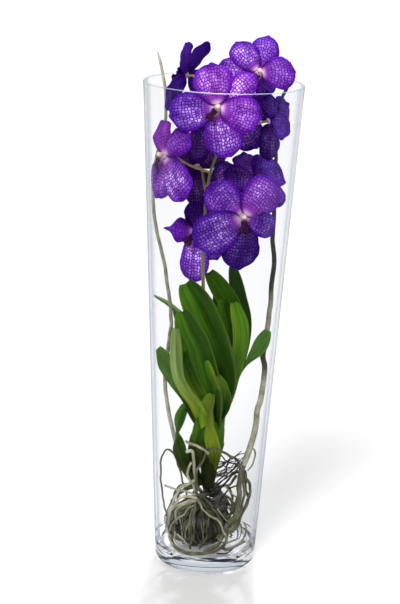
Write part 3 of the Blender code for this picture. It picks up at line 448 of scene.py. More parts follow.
THIN_ROOTS = (
    Root(0.9, 0.8, ((15, -12, 139), (23, -8, 129), (33, -6, 125), (40, -5, 118)), 0.05, 0.05),
    Root(0.9, 0.8, ((14, -8, 128), (27, -8, 127), (37, -6, 125)), 0.05, 0.05),
    Root(0.9, 0.8, ((28, -8, 136), (23, -10, 123), (24, -8, 116), (18, -8, 113), (14, -8, 110)), 0.05, 0.1),
    Root(1.0, 0.8, ((24, -8, 116), (19, -10, 110), (11, -12, 101), (6, -12, 90)), 0.05, 0.05),
    Root(1.0, 0.8, ((37, -6, 124), (26, -9, 113), (20, -10, 105), (13, -12, 97), (6, -12, 89)), 0.08, 0.05),
    Root(0.9, 0.8, ((5, -8, 99), (13, -9, 98), (15, -10, 92), (12, -12, 88)), 0.05, 0.05),
    Root(1.1, 0.9, ((40, -6, 124), (33, -8, 115), (24, -10, 108), (13, -10, 99)), 0.3, 0.3),
    Root(2.1, 1.4, ((36, -8, 111), (30, -12, 102), (25, -14, 98)), 0.3, 0.35),
    Root(1.0, 1.0, ((23, -14, 98), (29, -12, 89), (37, -12, 83)), 0.65, 0.65),
    Root(1.3, 1.1, ((52, 4, 146), (58, 5, 139), (57, 4, 125), (50, 0, 114)), 0.6, 0.7),
    Root(1.1, 1.0, ((5, -35, 69), (3, -40, 57), (1, -41, 49), (2, -43, 42), (-2, -45, 33),
        (-7, -47, 26)), 0.45, 0.4),
    Root(1.0, 0.9, ((-6, -38, 59), (-4, -42, 47), (-2, -45, 38)), 0.4, 0.4),
    Root(1.2, 1.1, ((-10, -25, 83), (-4, -30, 80), (0, -33, 75), (6, -35, 69)), 0.45, 0.4),
    Root(1.0, 0.9, ((15, -52, 24), (24, -50, 23), (33, -45, 26), (41, -38, 30), (51, -29, 30)), 0.1, 0.1),
    Root(1.3, 1.1, ((-38, -40, 45), (-37, -44, 34), (-30, -47, 29)), 0.75, 0.75),
    Root(1.3, 1.1, ((-35, -42, 43), (-28, -46, 38), (-22, -49, 32)), 0.8, 0.75),
    Root(1.1, 0.9, ((48, -8, 47), (52, -10, 40), (50, -18, 32), (44, -27, 29)), 0.6, 0.6),
    Root(1.1, 0.9, ((39, -18, 48), (41, -22, 38), (38, -30, 31)), 0.6, 0.6),
    Root(1.0, 0.8, ((44, -12, 47), (46, -18, 38), (42, -26, 32)), 0.65, 0.6),
    Root(1.2, 1.0, ((14, -45, 43), (22, -47, 37), (32, -44, 36), (41, -37, 38)), 0.5, 0.55),
    Root(1.6, 1.3, ((-52, -32, 61), (-51, -36, 48), (-48, -40, 35), (-41, -44, 28)), 0.85, 0.8),
    Root(1.2, 1.0, ((-17, -31, 75), (-20, -37, 65), (-19, -40, 54), (-20, -42, 42)), 0.55, 0.45),
    Root(1.0, 0.9, ((-25, -32, 83), (-34, -38, 75), (-41, -40, 65)), 0.6, 0.5),
    Root(1.1, 0.9, ((-21, -43, 44), (-15, -45, 38), (-9, -47, 31)), 0.4, 0.3),
    Root(0.9, 0.8, ((14, -30, 74), (22, -36, 66), (27, -40, 62)), 0.7, 0.6),
    Root(1.1, 0.9, ((21, -12, 87), (15, -22, 81), (13, -28, 73), (19, -33, 67)), 0.35, 0.3),
)


class Wire:
    """A socket in a node tree; a sum or product with it adds a Math node."""

    def __init__(self, nodes, socket):
        self.nodes = nodes
        self.socket = socket

    def maths(self, operation, first, second=0.0):
        return self.nodes.node("ShaderNodeMath", {"operation": operation}, {0: first, 1: second})

    def __add__(self, other):
        return self.maths("ADD", self, other)

    __radd__ = __add__

    def __sub__(self, other):
        return self.maths("SUBTRACT", self, other)

    def __rsub__(self, other):
        return self.maths("SUBTRACT", other, self)

    def __mul__(self, other):
        return self.maths("MULTIPLY", self, other)

    __rmul__ = __mul__

    def __abs__(self):
        return self.maths("ABSOLUTE", self)

    def fade(self, low, high):
        """0 below low and 1 above high, with a soft change between."""
        return self.nodes.node(
            "ShaderNodeMapRange", {"interpolation_type": "SMOOTHSTEP"}, {"Value": self, 1: low, 2: high})


class Nodes:
    """Adds nodes to the tree of a material or of a shape."""

    def __init__(self, tree):
        self.tree = tree

    def node(self, kind, settings=None, sockets=None, output=0):
        made = self.tree.nodes.new(kind)
        for name, value in (settings or {}).items():
            if name == "stops":
                self.set_stops(made.color_ramp, value)
            else:
                setattr(made, name, value)
        for key, value in (sockets or {}).items():
            if isinstance(value, Wire):
                self.tree.links.new(value.socket, made.inputs[key])
            else:
                made.inputs[key].default_value = value
        return Wire(self, made.outputs[output])

    @staticmethod
    def set_stops(ramp, stops):
        while len(ramp.elements) < len(stops):
            ramp.elements.new(0.5)
        for element, (place, colour) in zip(ramp.elements, stops):
            element.position = place
            element.color = (*colour, 1)


class Paint(Nodes):
    """The nodes of one material with a Principled shader."""

    def __init__(self, name, **even):
        self.material = bpy.data.materials.new(name)
        self.material.use_nodes = True
        super().__init__(self.material.node_tree)
        self.shader = self.tree.nodes["Principled BSDF"]
        for socket, value in even.items():
            self.shader.inputs[socket.replace("_", " ")].default_value = value

    def feed(self, socket, wire):
        self.tree.links.new(wire.socket, self.shader.inputs[socket])

    def mark(self, name, output="Vector"):
        return self.node("ShaderNodeAttribute", {"attribute_name": name}, output=output)

    def parts(self, vector):
        return [self.node("ShaderNodeSeparateXYZ", None, {0: vector}, part) for part in "XYZ"]

    def vector(self, x=0.0, y=0.0, z=0.0):
        return self.node("ShaderNodeCombineXYZ", None, {0: x, 1: y, 2: z})

    def mix(self, share, first, second):
        first = first if isinstance(first, Wire) else (*first, 1)
        second = second if isinstance(second, Wire) else (*second, 1)
        return self.node("ShaderNodeMix", {"data_type": "RGBA"}, {0: share, 6: first, 7: second}, 2)

    def scaled(self, colour, amount):
        """A colour made darker or lighter by a number."""
        return self.node("ShaderNodeVectorMath", {"operation": "SCALE"}, {0: colour, "Scale": amount})

    def noise(self, scale, detail=3.0, vector=None, output="Fac"):
        vector = vector or self.node("ShaderNodeTexCoord", output="Object")
        look = {"Vector": vector, "Scale": scale, "Detail": detail}
        return self.node("ShaderNodeTexNoise", None, look, output)

    def bump(self, height, strength, distance):
        look = {"Height": height, "Strength": strength, "Distance": distance}
        self.feed("Normal", self.node("ShaderNodeBump", None, look))


def petal_finish():
    """Violet with a net of veins round paler cells, a pale star in the middle and darker backs, with
    painted shade along lengthwise creases and near the claws, and each tepal made lighter or darker as
    painted light and shade.
    """
    paint = Paint("petal_violet", Roughness=0.6, Specular_IOR_Level=0.02)
    along, across, front = paint.parts(paint.mark("place"))
    magenta, netted, light = paint.parts(paint.mark("tone"))
    net = paint.mark("net")
    shake = paint.node("ShaderNodeVectorMath", {"operation": "SCALE"},
                       {0: paint.noise(0.6, 1.0, net, "Color"), "Scale": 0.5})
    net = paint.node("ShaderNodeVectorMath", {"operation": "ADD"}, {0: net, 1: shake})
    cells = {"voronoi_dimensions": "2D", "feature": "DISTANCE_TO_EDGE"}
    look = {"Vector": net, "Scale": 1.0, "Randomness": 0.6}
    inside = paint.node("ShaderNodeTexVoronoi", cells, look, "Distance").fade(0.05, 0.24)
    which = paint.node("ShaderNodeTexVoronoi", {"voronoi_dimensions": "2D"}, look, "Color")
    chance = paint.parts(which)[0]
    edge = abs(across)
    middle = along.fade(0.06, 0.34) * (1 - along.fade(0.72, 0.97)) * (1 - edge.fade(0.52, 0.95))
    patches = paint.noise(0.16, 1.0, net).fade(0.30, 0.68)
    run, turn = paint.parts(net)[:2]
    # Painted shade: lengthwise creases drawn as streaks of lighter and darker violet, in the field and in
    # the pale cells.
    crease_shade = paint.noise(1.0, 2.0, paint.vector(run * 0.10, turn * 0.42)).fade(0.30, 0.70)
    strength = inside * middle * netted * (0.30 + 0.70 * chance)
    strength = strength * (0.34 + 0.85 * patches) * (0.6 + 0.55 * crease_shade)
    field = paint.mix(magenta, (0.046, 0.002, 0.255), (0.175, 0.007, 0.330))
    margin = along.fade(0.6, 1.0) * 0.35 + edge.fade(0.6, 1.0) * 0.3
    field = paint.mix(margin, field, (0.075, 0.012, 0.420))
    # Painted shade: darker near the claw towards the tepal's sides, where the tepals overlap.
    deep = 1 - 0.45 * (1 - along.fade(0.10, 0.40)) * edge.fade(0.15, 0.6)
    field = paint.scaled(field, deep * (0.43 + 0.45 * inside + 0.25 * patches + 0.32 * crease_shade))
    lit = paint.mix(magenta, (0.50, 0.26, 0.98), (0.74, 0.30, 0.95))
    lit = paint.mix(strength.fade(0.45, 1.0), lit, (0.74, 0.53, 0.98))
    colour = paint.mix(strength, field, lit)
    streaks = paint.noise(1.0, 2.0, paint.vector(along * 3, across * 26))
    glow = (1 - (along + 0.12 * streaks).fade(0.12, 0.36)) * (1 - edge.fade(0.2, 0.9))
    colour = paint.mix(glow * front * 0.7, colour, (0.36, 0.06, 0.52))
    claw = (1 - (along + 0.10 * streaks).fade(0.04, 0.20)) * (1 - edge.fade(0.12, 0.75))
    claw = claw * (1 - 0.5 * streaks)
    colour = paint.mix(claw * front, colour, (0.95, 0.68, 0.84))
    # Painted light and shade: the whole tepal lightened or darkened by its brightness; its back is darker.
    colour = paint.scaled(colour, light * (0.72 + 0.28 * front))
    paint.feed("Base Color", colour)
    paint.bump(inside * 0.7 + patches * 0.3, 0.35, 0.0008)
    return paint.material


def leaf_finish():
    """Leathery green with lengthwise veins, a darker midrib, pale edges painted as light showing through
    them, and a soft gloss.
    """
    paint = Paint("leaf_green", Specular_IOR_Level=0.06)
    along, across, seed = paint.parts(paint.mark("place"))
    green = paint.mark("green", "Color")
    veins = paint.noise(1.0, 2.0, paint.vector(along * 1.2 + seed, across * 34)).fade(0.30, 0.70)
    bands = paint.noise(1.0, 2.0, paint.vector(along * 1.6 + seed, across * 7)).fade(0.32, 0.68)
    broad = paint.noise(1.0, 2.0, paint.vector(along * 3 + seed, across * 2)).fade(0.30, 0.70)
    rib = 1 - abs(across).fade(0.02, 0.12)
    colour = paint.scaled(green, 0.56 + 0.20 * veins + 0.42 * bands + 0.35 * broad - 0.25 * rib)
    # Painted light: paler edges, where light shines through the thin margins.
    rim = abs(across).fade(0.82, 0.98)
    colour = paint.mix(rim * 0.35, colour, (0.150, 0.230, 0.040))
    freckles = paint.noise(900, 1.0).fade(0.62, 0.75)
    colour = paint.mix(freckles * 0.15, colour, (0.17, 0.24, 0.04))
    height = paint.parts(paint.node("ShaderNodeTexCoord", output="Object"))[2]
    paint.feed("Base Color", paint.scaled(colour, 0.32 + 0.68 * height.fade(0.130, 0.164)))
    paint.feed("Roughness", 0.34 + 0.2 * broad)
    paint.bump(veins * 0.4 + bands, 0.3, 0.0005)
    return paint.material


def stalk_finish():
    """Olive green on the stalk, paler on the pedicels."""
    paint = Paint("stalk_green", Roughness=0.45)
    pale = paint.mark("pale", "Fac")
    patches = paint.noise(130, 3.0)
    colour = paint.mix(pale, (0.13, 0.16, 0.035), (0.46, 0.33, 0.10))
    paint.feed("Base Color", paint.scaled(colour, 0.6 + 0.8 * patches))
    paint.bump(patches, 0.2, 0.0005)
    return paint.material


def root_finish(name):
    """Velamen: from near black through olive and grey-beige to cream, mottled and finely cracked."""
    paint = Paint(name, Specular_IOR_Level=0.3)
    pale = paint.mark("pale", "Fac")
    patches = paint.noise(85, 4.0)
    fine = paint.noise(700, 3.0)
    tone = pale - 0.06 + 0.70 * (patches - 0.5) + 0.50 * (fine - 0.5)
    stops = ((0.0, (0.014, 0.013, 0.010)), (0.22, (0.040, 0.040, 0.020)), (0.42, (0.108, 0.112, 0.056)),
             (0.62, (0.262, 0.264, 0.170)), (0.82, (0.490, 0.482, 0.360)), (1.0, (0.800, 0.780, 0.640)))
    paint.feed("Base Color", paint.node("ShaderNodeValToRGB", {"stops": stops}, {"Fac": tone}, "Color"))
    paint.feed("Roughness", 0.62 + 0.3 * fine)
    paint.bump(fine * 0.5 + patches, 0.5, 0.0008)
    return paint.material


def old_root_finish():
    """The matted old roots: dark purple-grey with brown and olive fibres."""
    paint = Paint("old_roots", Roughness=0.85, Specular_IOR_Level=0.2)
    patches = paint.noise(60, 4.0)
    fine = paint.noise(420, 4.0)
    colour = paint.mix(patches.fade(0.35, 0.7), (0.046, 0.041, 0.043), (0.150, 0.138, 0.118))
    paint.feed("Base Color", paint.scaled(colour, 0.45 + 1.1 * fine))
    paint.bump(fine + patches, 0.8, 0.002)
    return paint.material


def lip_finish():
    """Dark velvety maroon with a paler throat."""
    paint = Paint("lip_maroon", Roughness=0.5, Specular_IOR_Level=0.15)
    along, across = paint.parts(paint.mark("place"))[:2]
    ridges = paint.noise(1.0, 2.0, paint.vector(along * 4, across * 9))
    colour = paint.mix(ridges.fade(0.35, 0.7), (0.014, 0.001, 0.014), (0.060, 0.004, 0.045))
    colour = paint.mix((1 - along.fade(0.03, 0.16)) * 0.7, colour, (0.62, 0.33, 0.40))
    paint.feed("Base Color", colour)
    paint.bump(ridges, 0.4, 0.0006)
    return paint.material


def column_finish():
    """Pink at its foot, cream at its cap."""
    paint = Paint("column_cream", Roughness=0.4, Coat_Weight=0.15)
    height = paint.mark("pale", "Fac")
    spots = paint.noise(600, 2.0)
    colour = paint.mix(height, (0.72, 0.36, 0.50), (0.88, 0.74, 0.50))
    paint.feed("Base Color", paint.scaled(colour, 0.8 + 0.35 * spots))
    return paint.material


def glass_finish():
    """Clear glass: the foot bends light, the thin wall is a film that mirrors near its edges and is greyed
    there as a painted reflection, and the foot carries painted shade and dark painted reflections.
    """
    paint = Paint("clear_glass", Roughness=0.0, IOR=1.46, Transmission_Weight=1.0)
    x, y, z = paint.parts(paint.node("ShaderNodeTexCoord", output="Object"))
    front = -1 / BASE_RADIUS * y
    waves = paint.noise(1.0, 3.0, paint.vector(x * 30, y * 30, z * 420))
    radius = paint.node("ShaderNodeVectorMath", {"operation": "LENGTH"}, {0: paint.vector(x, y)}, 1)
    outside = radius.fade(BASE_RADIUS - 0.0026, BASE_RADIUS - 0.0018) * z.fade(0.0004, 0.0012)
    # Painted shade: the lower outside of the foot is tinted blue-grey, for the darker room seen through it.
    below = (1 - z.fade(FLOOR - 0.002, FLOOR - 0.001)) * outside
    facing = paint.node("ShaderNodeLayerWeight", None, {"Blend": 0.5}, "Facing")
    # Painted reflections: dark streaks on the outside of the foot, strongest where it is seen edge-on.
    streaks = waves.fade(0.50, 0.60) * (0.05 + 0.95 * facing.fade(0.20, 0.60)) * outside
    tint_with_painted_shade = paint.mix(below, (0.95, 0.96, 0.97), (0.71, 0.75, 0.81))
    # Painted reflections: a dark line round the foot, falling lower towards the sides, and a thinner one
    # near its bottom, for dark surroundings seen through the thick glass.
    gap = abs(z - (FOOT_LINE - FOOT_LINE_RISE * (1 - front)))
    line = 1 - (gap - 0.0016 * waves.fade(0.42, 0.58)).fade(0.0006, 0.0016)
    broken = 0.5 * front.fade(0.86, 0.97) * (1 - waves.fade(0.40, 0.55))
    line = line * front.fade(0.30, 0.45) * (1 - broken)
    thin_painted_line = (1 - abs(z - FOOT_EDGE).fade(0.0003, 0.0013)) * front.fade(0.5, 0.7) * 0.5
    marks = outside * line + outside * thin_painted_line + streaks * (1 - z.fade(0.024, 0.031))
    marks = marks.fade(0.0, 1.0)
    # The painted reflections turn the foot's colour near black.
    tint_with_painted_shade = paint.mix(marks, tint_with_painted_shade, (0.0005, 0.0012, 0.0030))
    paint.feed("Base Color", tint_with_painted_shade)
    thick = Wire(paint, paint.shader.outputs[0])
    mirror = paint.node("ShaderNodeLayerWeight", None, {"Blend": 0.3}, "Fresnel")
    upright = paint.noise(1.0, 2.0, paint.vector(x * 60, y * 60, z * 1.2))
    depth = paint.mix(y.fade(-0.03, 0.03), (0.968, 0.968, 0.974), (0.940, 0.946, 0.952))
    # The painted reflections darken the thin wall's film too.
    depth = paint.mix(marks, depth, (0.03, 0.045, 0.075))
    clear = paint.node("ShaderNodeBsdfTransparent", None, {"Color": depth})
    # Painted reflection: the wall's film greyed where it is seen edge-on, in faint upright streaks and more
    # low on the wall, for the room seen bent in the glass.
    edge = paint.node("ShaderNodeBsdfTransparent", None, {"Color": (0.54, 0.58, 0.64, 1)})
    gloss = paint.node("ShaderNodeBsdfGlossy", None, {"Color": (0.80, 0.81, 0.84, 1), "Roughness": 0.02})
    grey = facing.fade(0.55, 1.0) * (0.2 + 0.8 * upright.fade(0.35, 0.65))
    grey = grey + facing.fade(0.80, 0.97) * (1 - z.fade(0.06, 0.17)) * 0.8
    film = paint.node("ShaderNodeMixShader", None, {0: grey, 1: clear, 2: edge})
    shine = mirror * (GLASS_VEIL + (1 - GLASS_VEIL) * facing.fade(0.62, 1.0))
    film = paint.node("ShaderNodeMixShader", None, {0: shine, 1: film, 2: gloss})
    lip = paint.node("ShaderNodeBsdfGlossy", None, {"Color": (0.46, 0.48, 0.54, 1), "Roughness": 0.5})
    polished = z.fade(VASE_HEIGHT - 0.0014, VASE_HEIGHT - 0.0006) * 0.5
    film = paint.node("ShaderNodeMixShader", None, {0: polished, 1: film, 2: lip})
    wall = z.fade(FLOOR + 0.0002, FLOOR + 0.0010)
    glass = paint.node("ShaderNodeMixShader", None, {0: wall, 1: thick, 2: film})
    shadow = paint.node("ShaderNodeLightPath", output="Is Shadow Ray")
    passed = paint.node("ShaderNodeBsdfTransparent", None, {"Color": (*SHADOW_PASS, 1)})
    both = paint.node("ShaderNodeMixShader", None, {0: shadow, 1: glass, 2: passed})
    paint.tree.links.new(both.socket, paint.tree.nodes["Material Output"].inputs["Surface"])
    return paint.material


def floor_finish():
    paint = Paint("white_floor", Roughness=0.28, Specular_IOR_Level=0.3)
    paint.shader.inputs["Base Color"].default_value = (0.60, 0.60, 0.603, 1)
    return paint.material


def points(route):
    return np.array(route, dtype=float) * MM


def smooth_route(route, count):
    """Reads `count` points, evenly spread, from a smooth curve through the given ones."""
    known = np.vstack([2 * route[0] - route[1], route, 2 * route[-1] - route[-2]])
    share = np.arange(12)[:, None] / 12
    fine = []
    for a, b, c, d in zip(known, known[1:], known[2:], known[3:]):
        fine.append(0.5 * (2 * b + (c - a) * share + (2 * a - 5 * b + 4 * c - d) * share ** 2
                           + (3 * b - a - 3 * c + d) * share ** 3))
    fine = np.vstack([*fine, route[-1:]])
    travelled = np.concatenate([[0], np.cumsum(np.linalg.norm(np.diff(fine, axis=0), axis=1))])
    wanted = np.linspace(0, travelled[-1], count)
    return np.stack([np.interp(wanted, travelled, fine[:, axis]) for axis in range(3)], axis=1)


def smooth_step(t):
    t = np.clip(t, 0, 1)
    return t * t * (3 - 2 * t)


def unit(vectors):
    return vectors / np.linalg.norm(vectors, axis=-1, keepdims=True)


def inner_radius(height):
    return BASE_RADIUS + (RIM_RADIUS - BASE_RADIUS) * height / VASE_HEIGHT - WALL


def inside_vase(places, margin):
    """Bends points that would reach the glass back inside, so that blades lie along the wall."""
    places = places.copy()
    limit = inner_radius(places[..., 2]) - margin
    knee = PRESS_START * limit
    radius = np.hypot(places[..., 0], places[..., 1])
    pressed = knee + (limit - knee) * np.tanh((radius - knee) / (limit - knee))
    share = np.where(radius > knee, pressed / np.maximum(radius, 1e-9), 1.0)
    places[..., :2] *= share[..., None]
    places[..., 2] = np.maximum(places[..., 2], FLOOR + margin)
    return places


class Blades:
    """Collects closed thin blades, with the marks that their finish reads, for one mesh."""

    def __init__(self):
        self.places = []
        self.faces = []
        self.marks = {}
        self.total = 0

    def add(self, middle, thickness, **marks):
        """middle: rows x columns x 3 points; thickness: a number for each; marks: 3 or 4 for each.

        A place whose third number is nan gets 1 there on the front of the blade and 0 on its back.
        """
        rows, columns = middle.shape[:2]
        along = np.gradient(middle, axis=0)
        across = np.gradient(middle, axis=1)
        normal = unit(np.cross(along, across))
        half = 0.5 * thickness[..., None] * normal
        self.places += [(middle + half).reshape(-1, 3), (middle - half).reshape(-1, 3)]
        index = np.arange(rows * columns).reshape(rows, columns) + self.total
        back = index + rows * columns
        corners = (index[:-1, :-1], index[1:, :-1], index[1:, 1:], index[:-1, 1:])
        quads = np.stack(corners, axis=-1).reshape(-1, 4)
        self.faces += quads.tolist() + (quads + rows * columns)[:, ::-1].tolist()
        rim = [*index[0], *index[1:, -1], *index[-1, -2::-1], *index[-2:0:-1, 0]]
        rim_back = [*back[0], *back[1:, -1], *back[-1, -2::-1], *back[-2:0:-1, 0]]
        for here in range(len(rim)):
            after = (here + 1) % len(rim)
            self.faces.append([rim[here], rim[after], rim_back[after], rim_back[here]])
        for name, value in marks.items():
            for side in (1.0, 0.0):
                flat = value.reshape(rows * columns, -1).copy()
                if name == "place" and np.isnan(flat[0, 2]):
                    flat[:, 2] = side
                self.marks.setdefault(name, []).append(flat)
        self.total += 2 * rows * columns

    def piece(self, name, finish, node, slot):
        mesh = bpy.data.meshes.new(name)
        mesh.from_pydata(np.vstack(self.places).tolist(), [], self.faces)
        for mark, values in self.marks.items():
            values = np.vstack(values)
            kind, key = ("FLOAT_VECTOR", "vector") if values.shape[1] == 3 else ("FLOAT_COLOR", "color")
            mesh.attributes.new(mark, kind, "POINT").data.foreach_set(key, values.ravel())
        finish_piece(name, mesh, finish, node)


def finish_piece(name, mesh, finish, node):
    """Turns the faces outwards, smooths them and puts the piece in the place of its node."""
    bm = bmesh.new()
    bm.from_mesh(mesh)
    bmesh.ops.recalc_face_normals(bm, faces=bm.faces)
    bm.to_mesh(mesh)
    bm.free()
    mesh.materials.clear()
    mesh.materials.append(finish)
    mesh.shade_smooth()
    piece = bpy.data.objects.new(name, mesh)
    bpy.context.scene.collection.objects.link(piece)
    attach(piece, "root")
    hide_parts(node)


def grid(first, second, third):
    """Three marks for each point of a grid, from values that may be even along a side of it."""
    return np.stack(np.broadcast_arrays(first, second, third), axis=-1)


def leaf_surface(leaf):
    """Points of the leaf's middle surface, and how far along and across it they are."""
    u = np.linspace(0, 1, LEAF_ROWS + 1)
    v = np.linspace(-1, 1, LEAF_COLUMNS + 1)
    path = smooth_route(points(leaf.route), LEAF_ROWS + 1)
    rise = math.radians(leaf.pitch)
    turn = np.radians(leaf.facing + leaf.twist * smooth_step((u - TWIST_START) / TWIST_LENGTH))
    facing = np.stack([np.sin(turn) * math.cos(rise), -np.cos(turn) * math.cos(rise),
                       np.full_like(turn, math.sin(rise))], axis=1)
    ahead = unit(np.gradient(path, axis=0))
    side = unit(np.cross(ahead, facing))
    normal = unit(np.cross(side, ahead))
    past = np.clip(u - LEAF_TIP_START, 0, None) / (1 - LEAF_TIP_START)
    opening = smooth_step((u - leaf.waist) / (leaf.full - leaf.waist))
    width = (leaf.neck + (1 - leaf.neck) * opening) * np.sqrt(1 - LEAF_TIP_ROUNDING * past ** 2)
    half = 0.5 * leaf.width * MM * width
    fold = leaf.fold * (FOLD_AT_BASE + (FOLD_AT_TIP - FOLD_AT_BASE) * u)
    valley = np.sqrt(v ** 2 + FOLD_ROUND) - FOLD_SINK
    phase = random.Random(leaf.name).uniform(0, 6)
    wave = LEAF_WAVE * np.sin(9 * u + phase)[:, None] * (v ** 3)[None, :]
    wave = wave * smooth_step(u / 0.3)[:, None]
    lift = (half * fold)[:, None] * valley[None, :] + wave
    notch = -LEAF_TIP_NOTCH * half[:, None] * (1 - np.abs(v))[None, :]
    notch = notch * smooth_step((u - LEAF_NOTCH_START) / (1 - LEAF_NOTCH_START))[:, None]
    surface = (path[:, None] + side[:, None] * (half[:, None] * v)[..., None]
               + normal[:, None] * lift[..., None] + ahead[:, None] * notch[..., None])
    return inside_vase(surface, LEAF_THICKNESS), u, v


def leaf_greens(leaf, u, v):
    """The leaf's green at each point, from the greens of its base and tip, left and right, which carry
    painted light and shade as well as its own colour.
    """
    base_left, base_right, tip_left, tip_right = (np.array(GREENS[name]) for name in leaf.greens)
    right = smooth_step((v + GREEN_BLEND) / (2 * GREEN_BLEND))[None, :, None]
    tip = smooth_step((u - 0.30) / 0.5)[:, None, None]
    base = base_left * (1 - right) + base_right * right
    end = tip_left * (1 - right) + tip_right * right
    return np.concatenate([base * (1 - tip) + end * tip, np.ones((len(u), len(v), 1))], axis=-1)


def make_leaves(finish):
    """All the leaves as one piece, each a folded blade that thins towards its edges and tip."""
    blades = Blades()
    for index, leaf in enumerate(LEAVES):
        surface, u, v = leaf_surface(leaf)
        thickness = LEAF_THICKNESS * (1 - LEAF_EDGE_THINNING * v ** 4)
        thickness = thickness * (1 - LEAF_TIP_THINNING * u[:, None])
        place = grid(u[:, None], v, SEED_STEP * index)
        blades.add(surface, thickness, place=place, green=leaf_greens(leaf, u, v))
    blades.piece("strap_leaves", finish, "leafy_stem", "leaf_green")


def bloom_axes(bloom):
    """The way the bloom faces, and the right and up of its plane, seen from its front."""
    turn = math.radians(bloom.facing)
    rise = math.radians(bloom.pitch)
    facing = np.array([math.sin(turn) * math.cos(rise), -math.cos(turn) * math.cos(rise), math.sin(rise)])
    right = np.array([math.cos(turn), math.sin(turn), 0.0])
    return facing, right, np.cross(facing, right)


def way_out(bloom, angle):
    """The way outwards from the middle of the bloom, at an angle in its plane."""
    right, up = bloom_axes(bloom)[1:]
    turn = math.radians(angle)
    return math.cos(turn) * right + math.sin(turn) * up


def tepal_half_width(u):
    """A tepal's half width as a share of its widest: a narrow claw, then a round blade."""
    narrow = smooth_step((u - 0.05) / (TEPAL_WIDEST - 0.05))
    round_base = np.sqrt(np.clip(1 - ((TEPAL_WIDEST - u) / TEPAL_WIDEST) ** 2, 0, None))
    opening = CLAW_WIDTH + (1 - CLAW_WIDTH) * (narrow + ROUND_BASE * (round_base - narrow))
    closing = np.sqrt(np.clip(1 - (0.95 * (u - TEPAL_WIDEST) / (1 - TEPAL_WIDEST)) ** 2, 0, None))
    return np.where(u < TEPAL_WIDEST, opening, closing)


def tepal_surface(bloom, tepal, step, draw):
    """The tepal's middle surface with its waved edge, and the marks for its net of veins."""
    facing = bloom_axes(bloom)[0]
    outward = way_out(bloom, tepal.angle)
    side = np.cross(facing, outward)
    lean = math.radians(tepal.lean)
    along = math.cos(lean) * outward + math.sin(lean) * facing
    normal = math.cos(lean) * facing - math.sin(lean) * outward
    length = tepal.length * MM
    u = (1 - (1 - np.linspace(0, 1, TEPAL_ROWS + 1)) ** 1.25)[:, None]
    v = np.sin(np.linspace(-1, 1, TEPAL_COLUMNS + 1) * math.pi / 2)[None, :]
    phases = [draw.uniform(0, 2 * math.pi) for _ in range(4)]
    width = 0.5 * tepal.width * MM * tepal_half_width(u)
    width = width * (1 - tepal.point * smooth_step((u - 0.45) / 0.4))
    jag = 1 + 0.018 * np.sin(17 * u + phases[0]) * np.abs(v) ** 5
    jag = jag + 0.010 * np.sin(37 * u + phases[1]) * v ** 6
    half = width * jag
    reach = CLAW_START + (length - CLAW_START) * u * (1 - TEPAL_CORNER * v * v * u ** 3)
    reach = reach * (1 + 0.014 * np.sin(5 * v + phases[2]) * smooth_step((u - 0.7) / 0.3))
    height = step - tepal.curl * length * u * u - TEPAL_DOME * width * v * v
    height = height + TEPAL_SWELL * length * np.sin(math.pi * u)
    height = height + RUFFLE * smooth_step((u - 0.3) / 0.4) * (
        np.abs(v) ** 3 * np.sin(11 * u + 2.2 * np.sign(v) + phases[3])
        + 0.5 * smooth_step((u - 0.6) / 0.4) * np.sin(4.5 * v + phases[0]))
    groove = np.exp(-(v / 0.09) ** 2) * smooth_step(u / 0.2) * (1 - smooth_step((u - 0.5) / 0.4))
    height = height - TEPAL_GROOVE * groove
    offset = along * reach[..., None] + side * (half * v)[..., None] + normal * height[..., None]
    surface = inside_vase(np.array(bloom.centre) * MM + offset, 2 * TEPAL_THICKNESS)
    flat_reach = reach / MM + NET_CENTRE
    radius = np.hypot(flat_reach, half * v / MM)
    spread = np.arctan2(half * v / MM, flat_reach) * NET_RADIUS * (radius / NET_RADIUS) ** NET_SPREAD
    start = draw.uniform(0, 90)
    net = grid(radius / CELL_ALONG + start, spread / CELL_ACROSS + start, 0.0)
    place = grid(u, v, np.nan)
    tone = np.zeros_like(surface) + (tepal.magenta, tepal.netted, tepal.light)
    thickness = TEPAL_THICKNESS * (1 - TEPAL_THINNING * np.maximum(np.abs(v) ** 4, u ** 6))
    return surface, thickness, place, net, tone


def add_hub(blades, bloom):
    """The small boss behind the claws, as one thick round blade."""
    right, up = bloom_axes(bloom)[1:]
    turns = np.linspace(0, 2 * math.pi, 17)[None, :]
    share = np.linspace(0.02, 1, 5)[:, None]
    flat = right * (np.cos(turns) * share)[..., None] + up * (np.sin(turns) * share)[..., None]
    surface = np.array(bloom.centre) * MM + flat * 0.92 * HUB_RADIUS
    thickness = 2 * HUB_HALF * (1 - 0.7 * share ** 3 + 0 * turns)
    even = np.zeros_like(surface)
    blades.add(surface, thickness, place=even + (0, 0, 1), net=even, tone=even + 0.8)


def make_petals(bloom, finish):
    """The five tepals and their hub; the two that come second and third lie in front."""
    draw = random.Random(bloom.name)
    blades = Blades()
    for index, tepal in enumerate(bloom.tepals):
        step = SEPAL_STEP if index in (1, 2) else -SEPAL_STEP
        surface, thickness, place, net, tone = tepal_surface(bloom, tepal, step, draw)
        blades.add(surface, thickness, place=place, net=net, tone=tone)
    add_hub(blades, bloom)
    blades.piece(f"{bloom.name}_petals", finish, f"bloom_{bloom.name}_tepals", "tepal_violet")


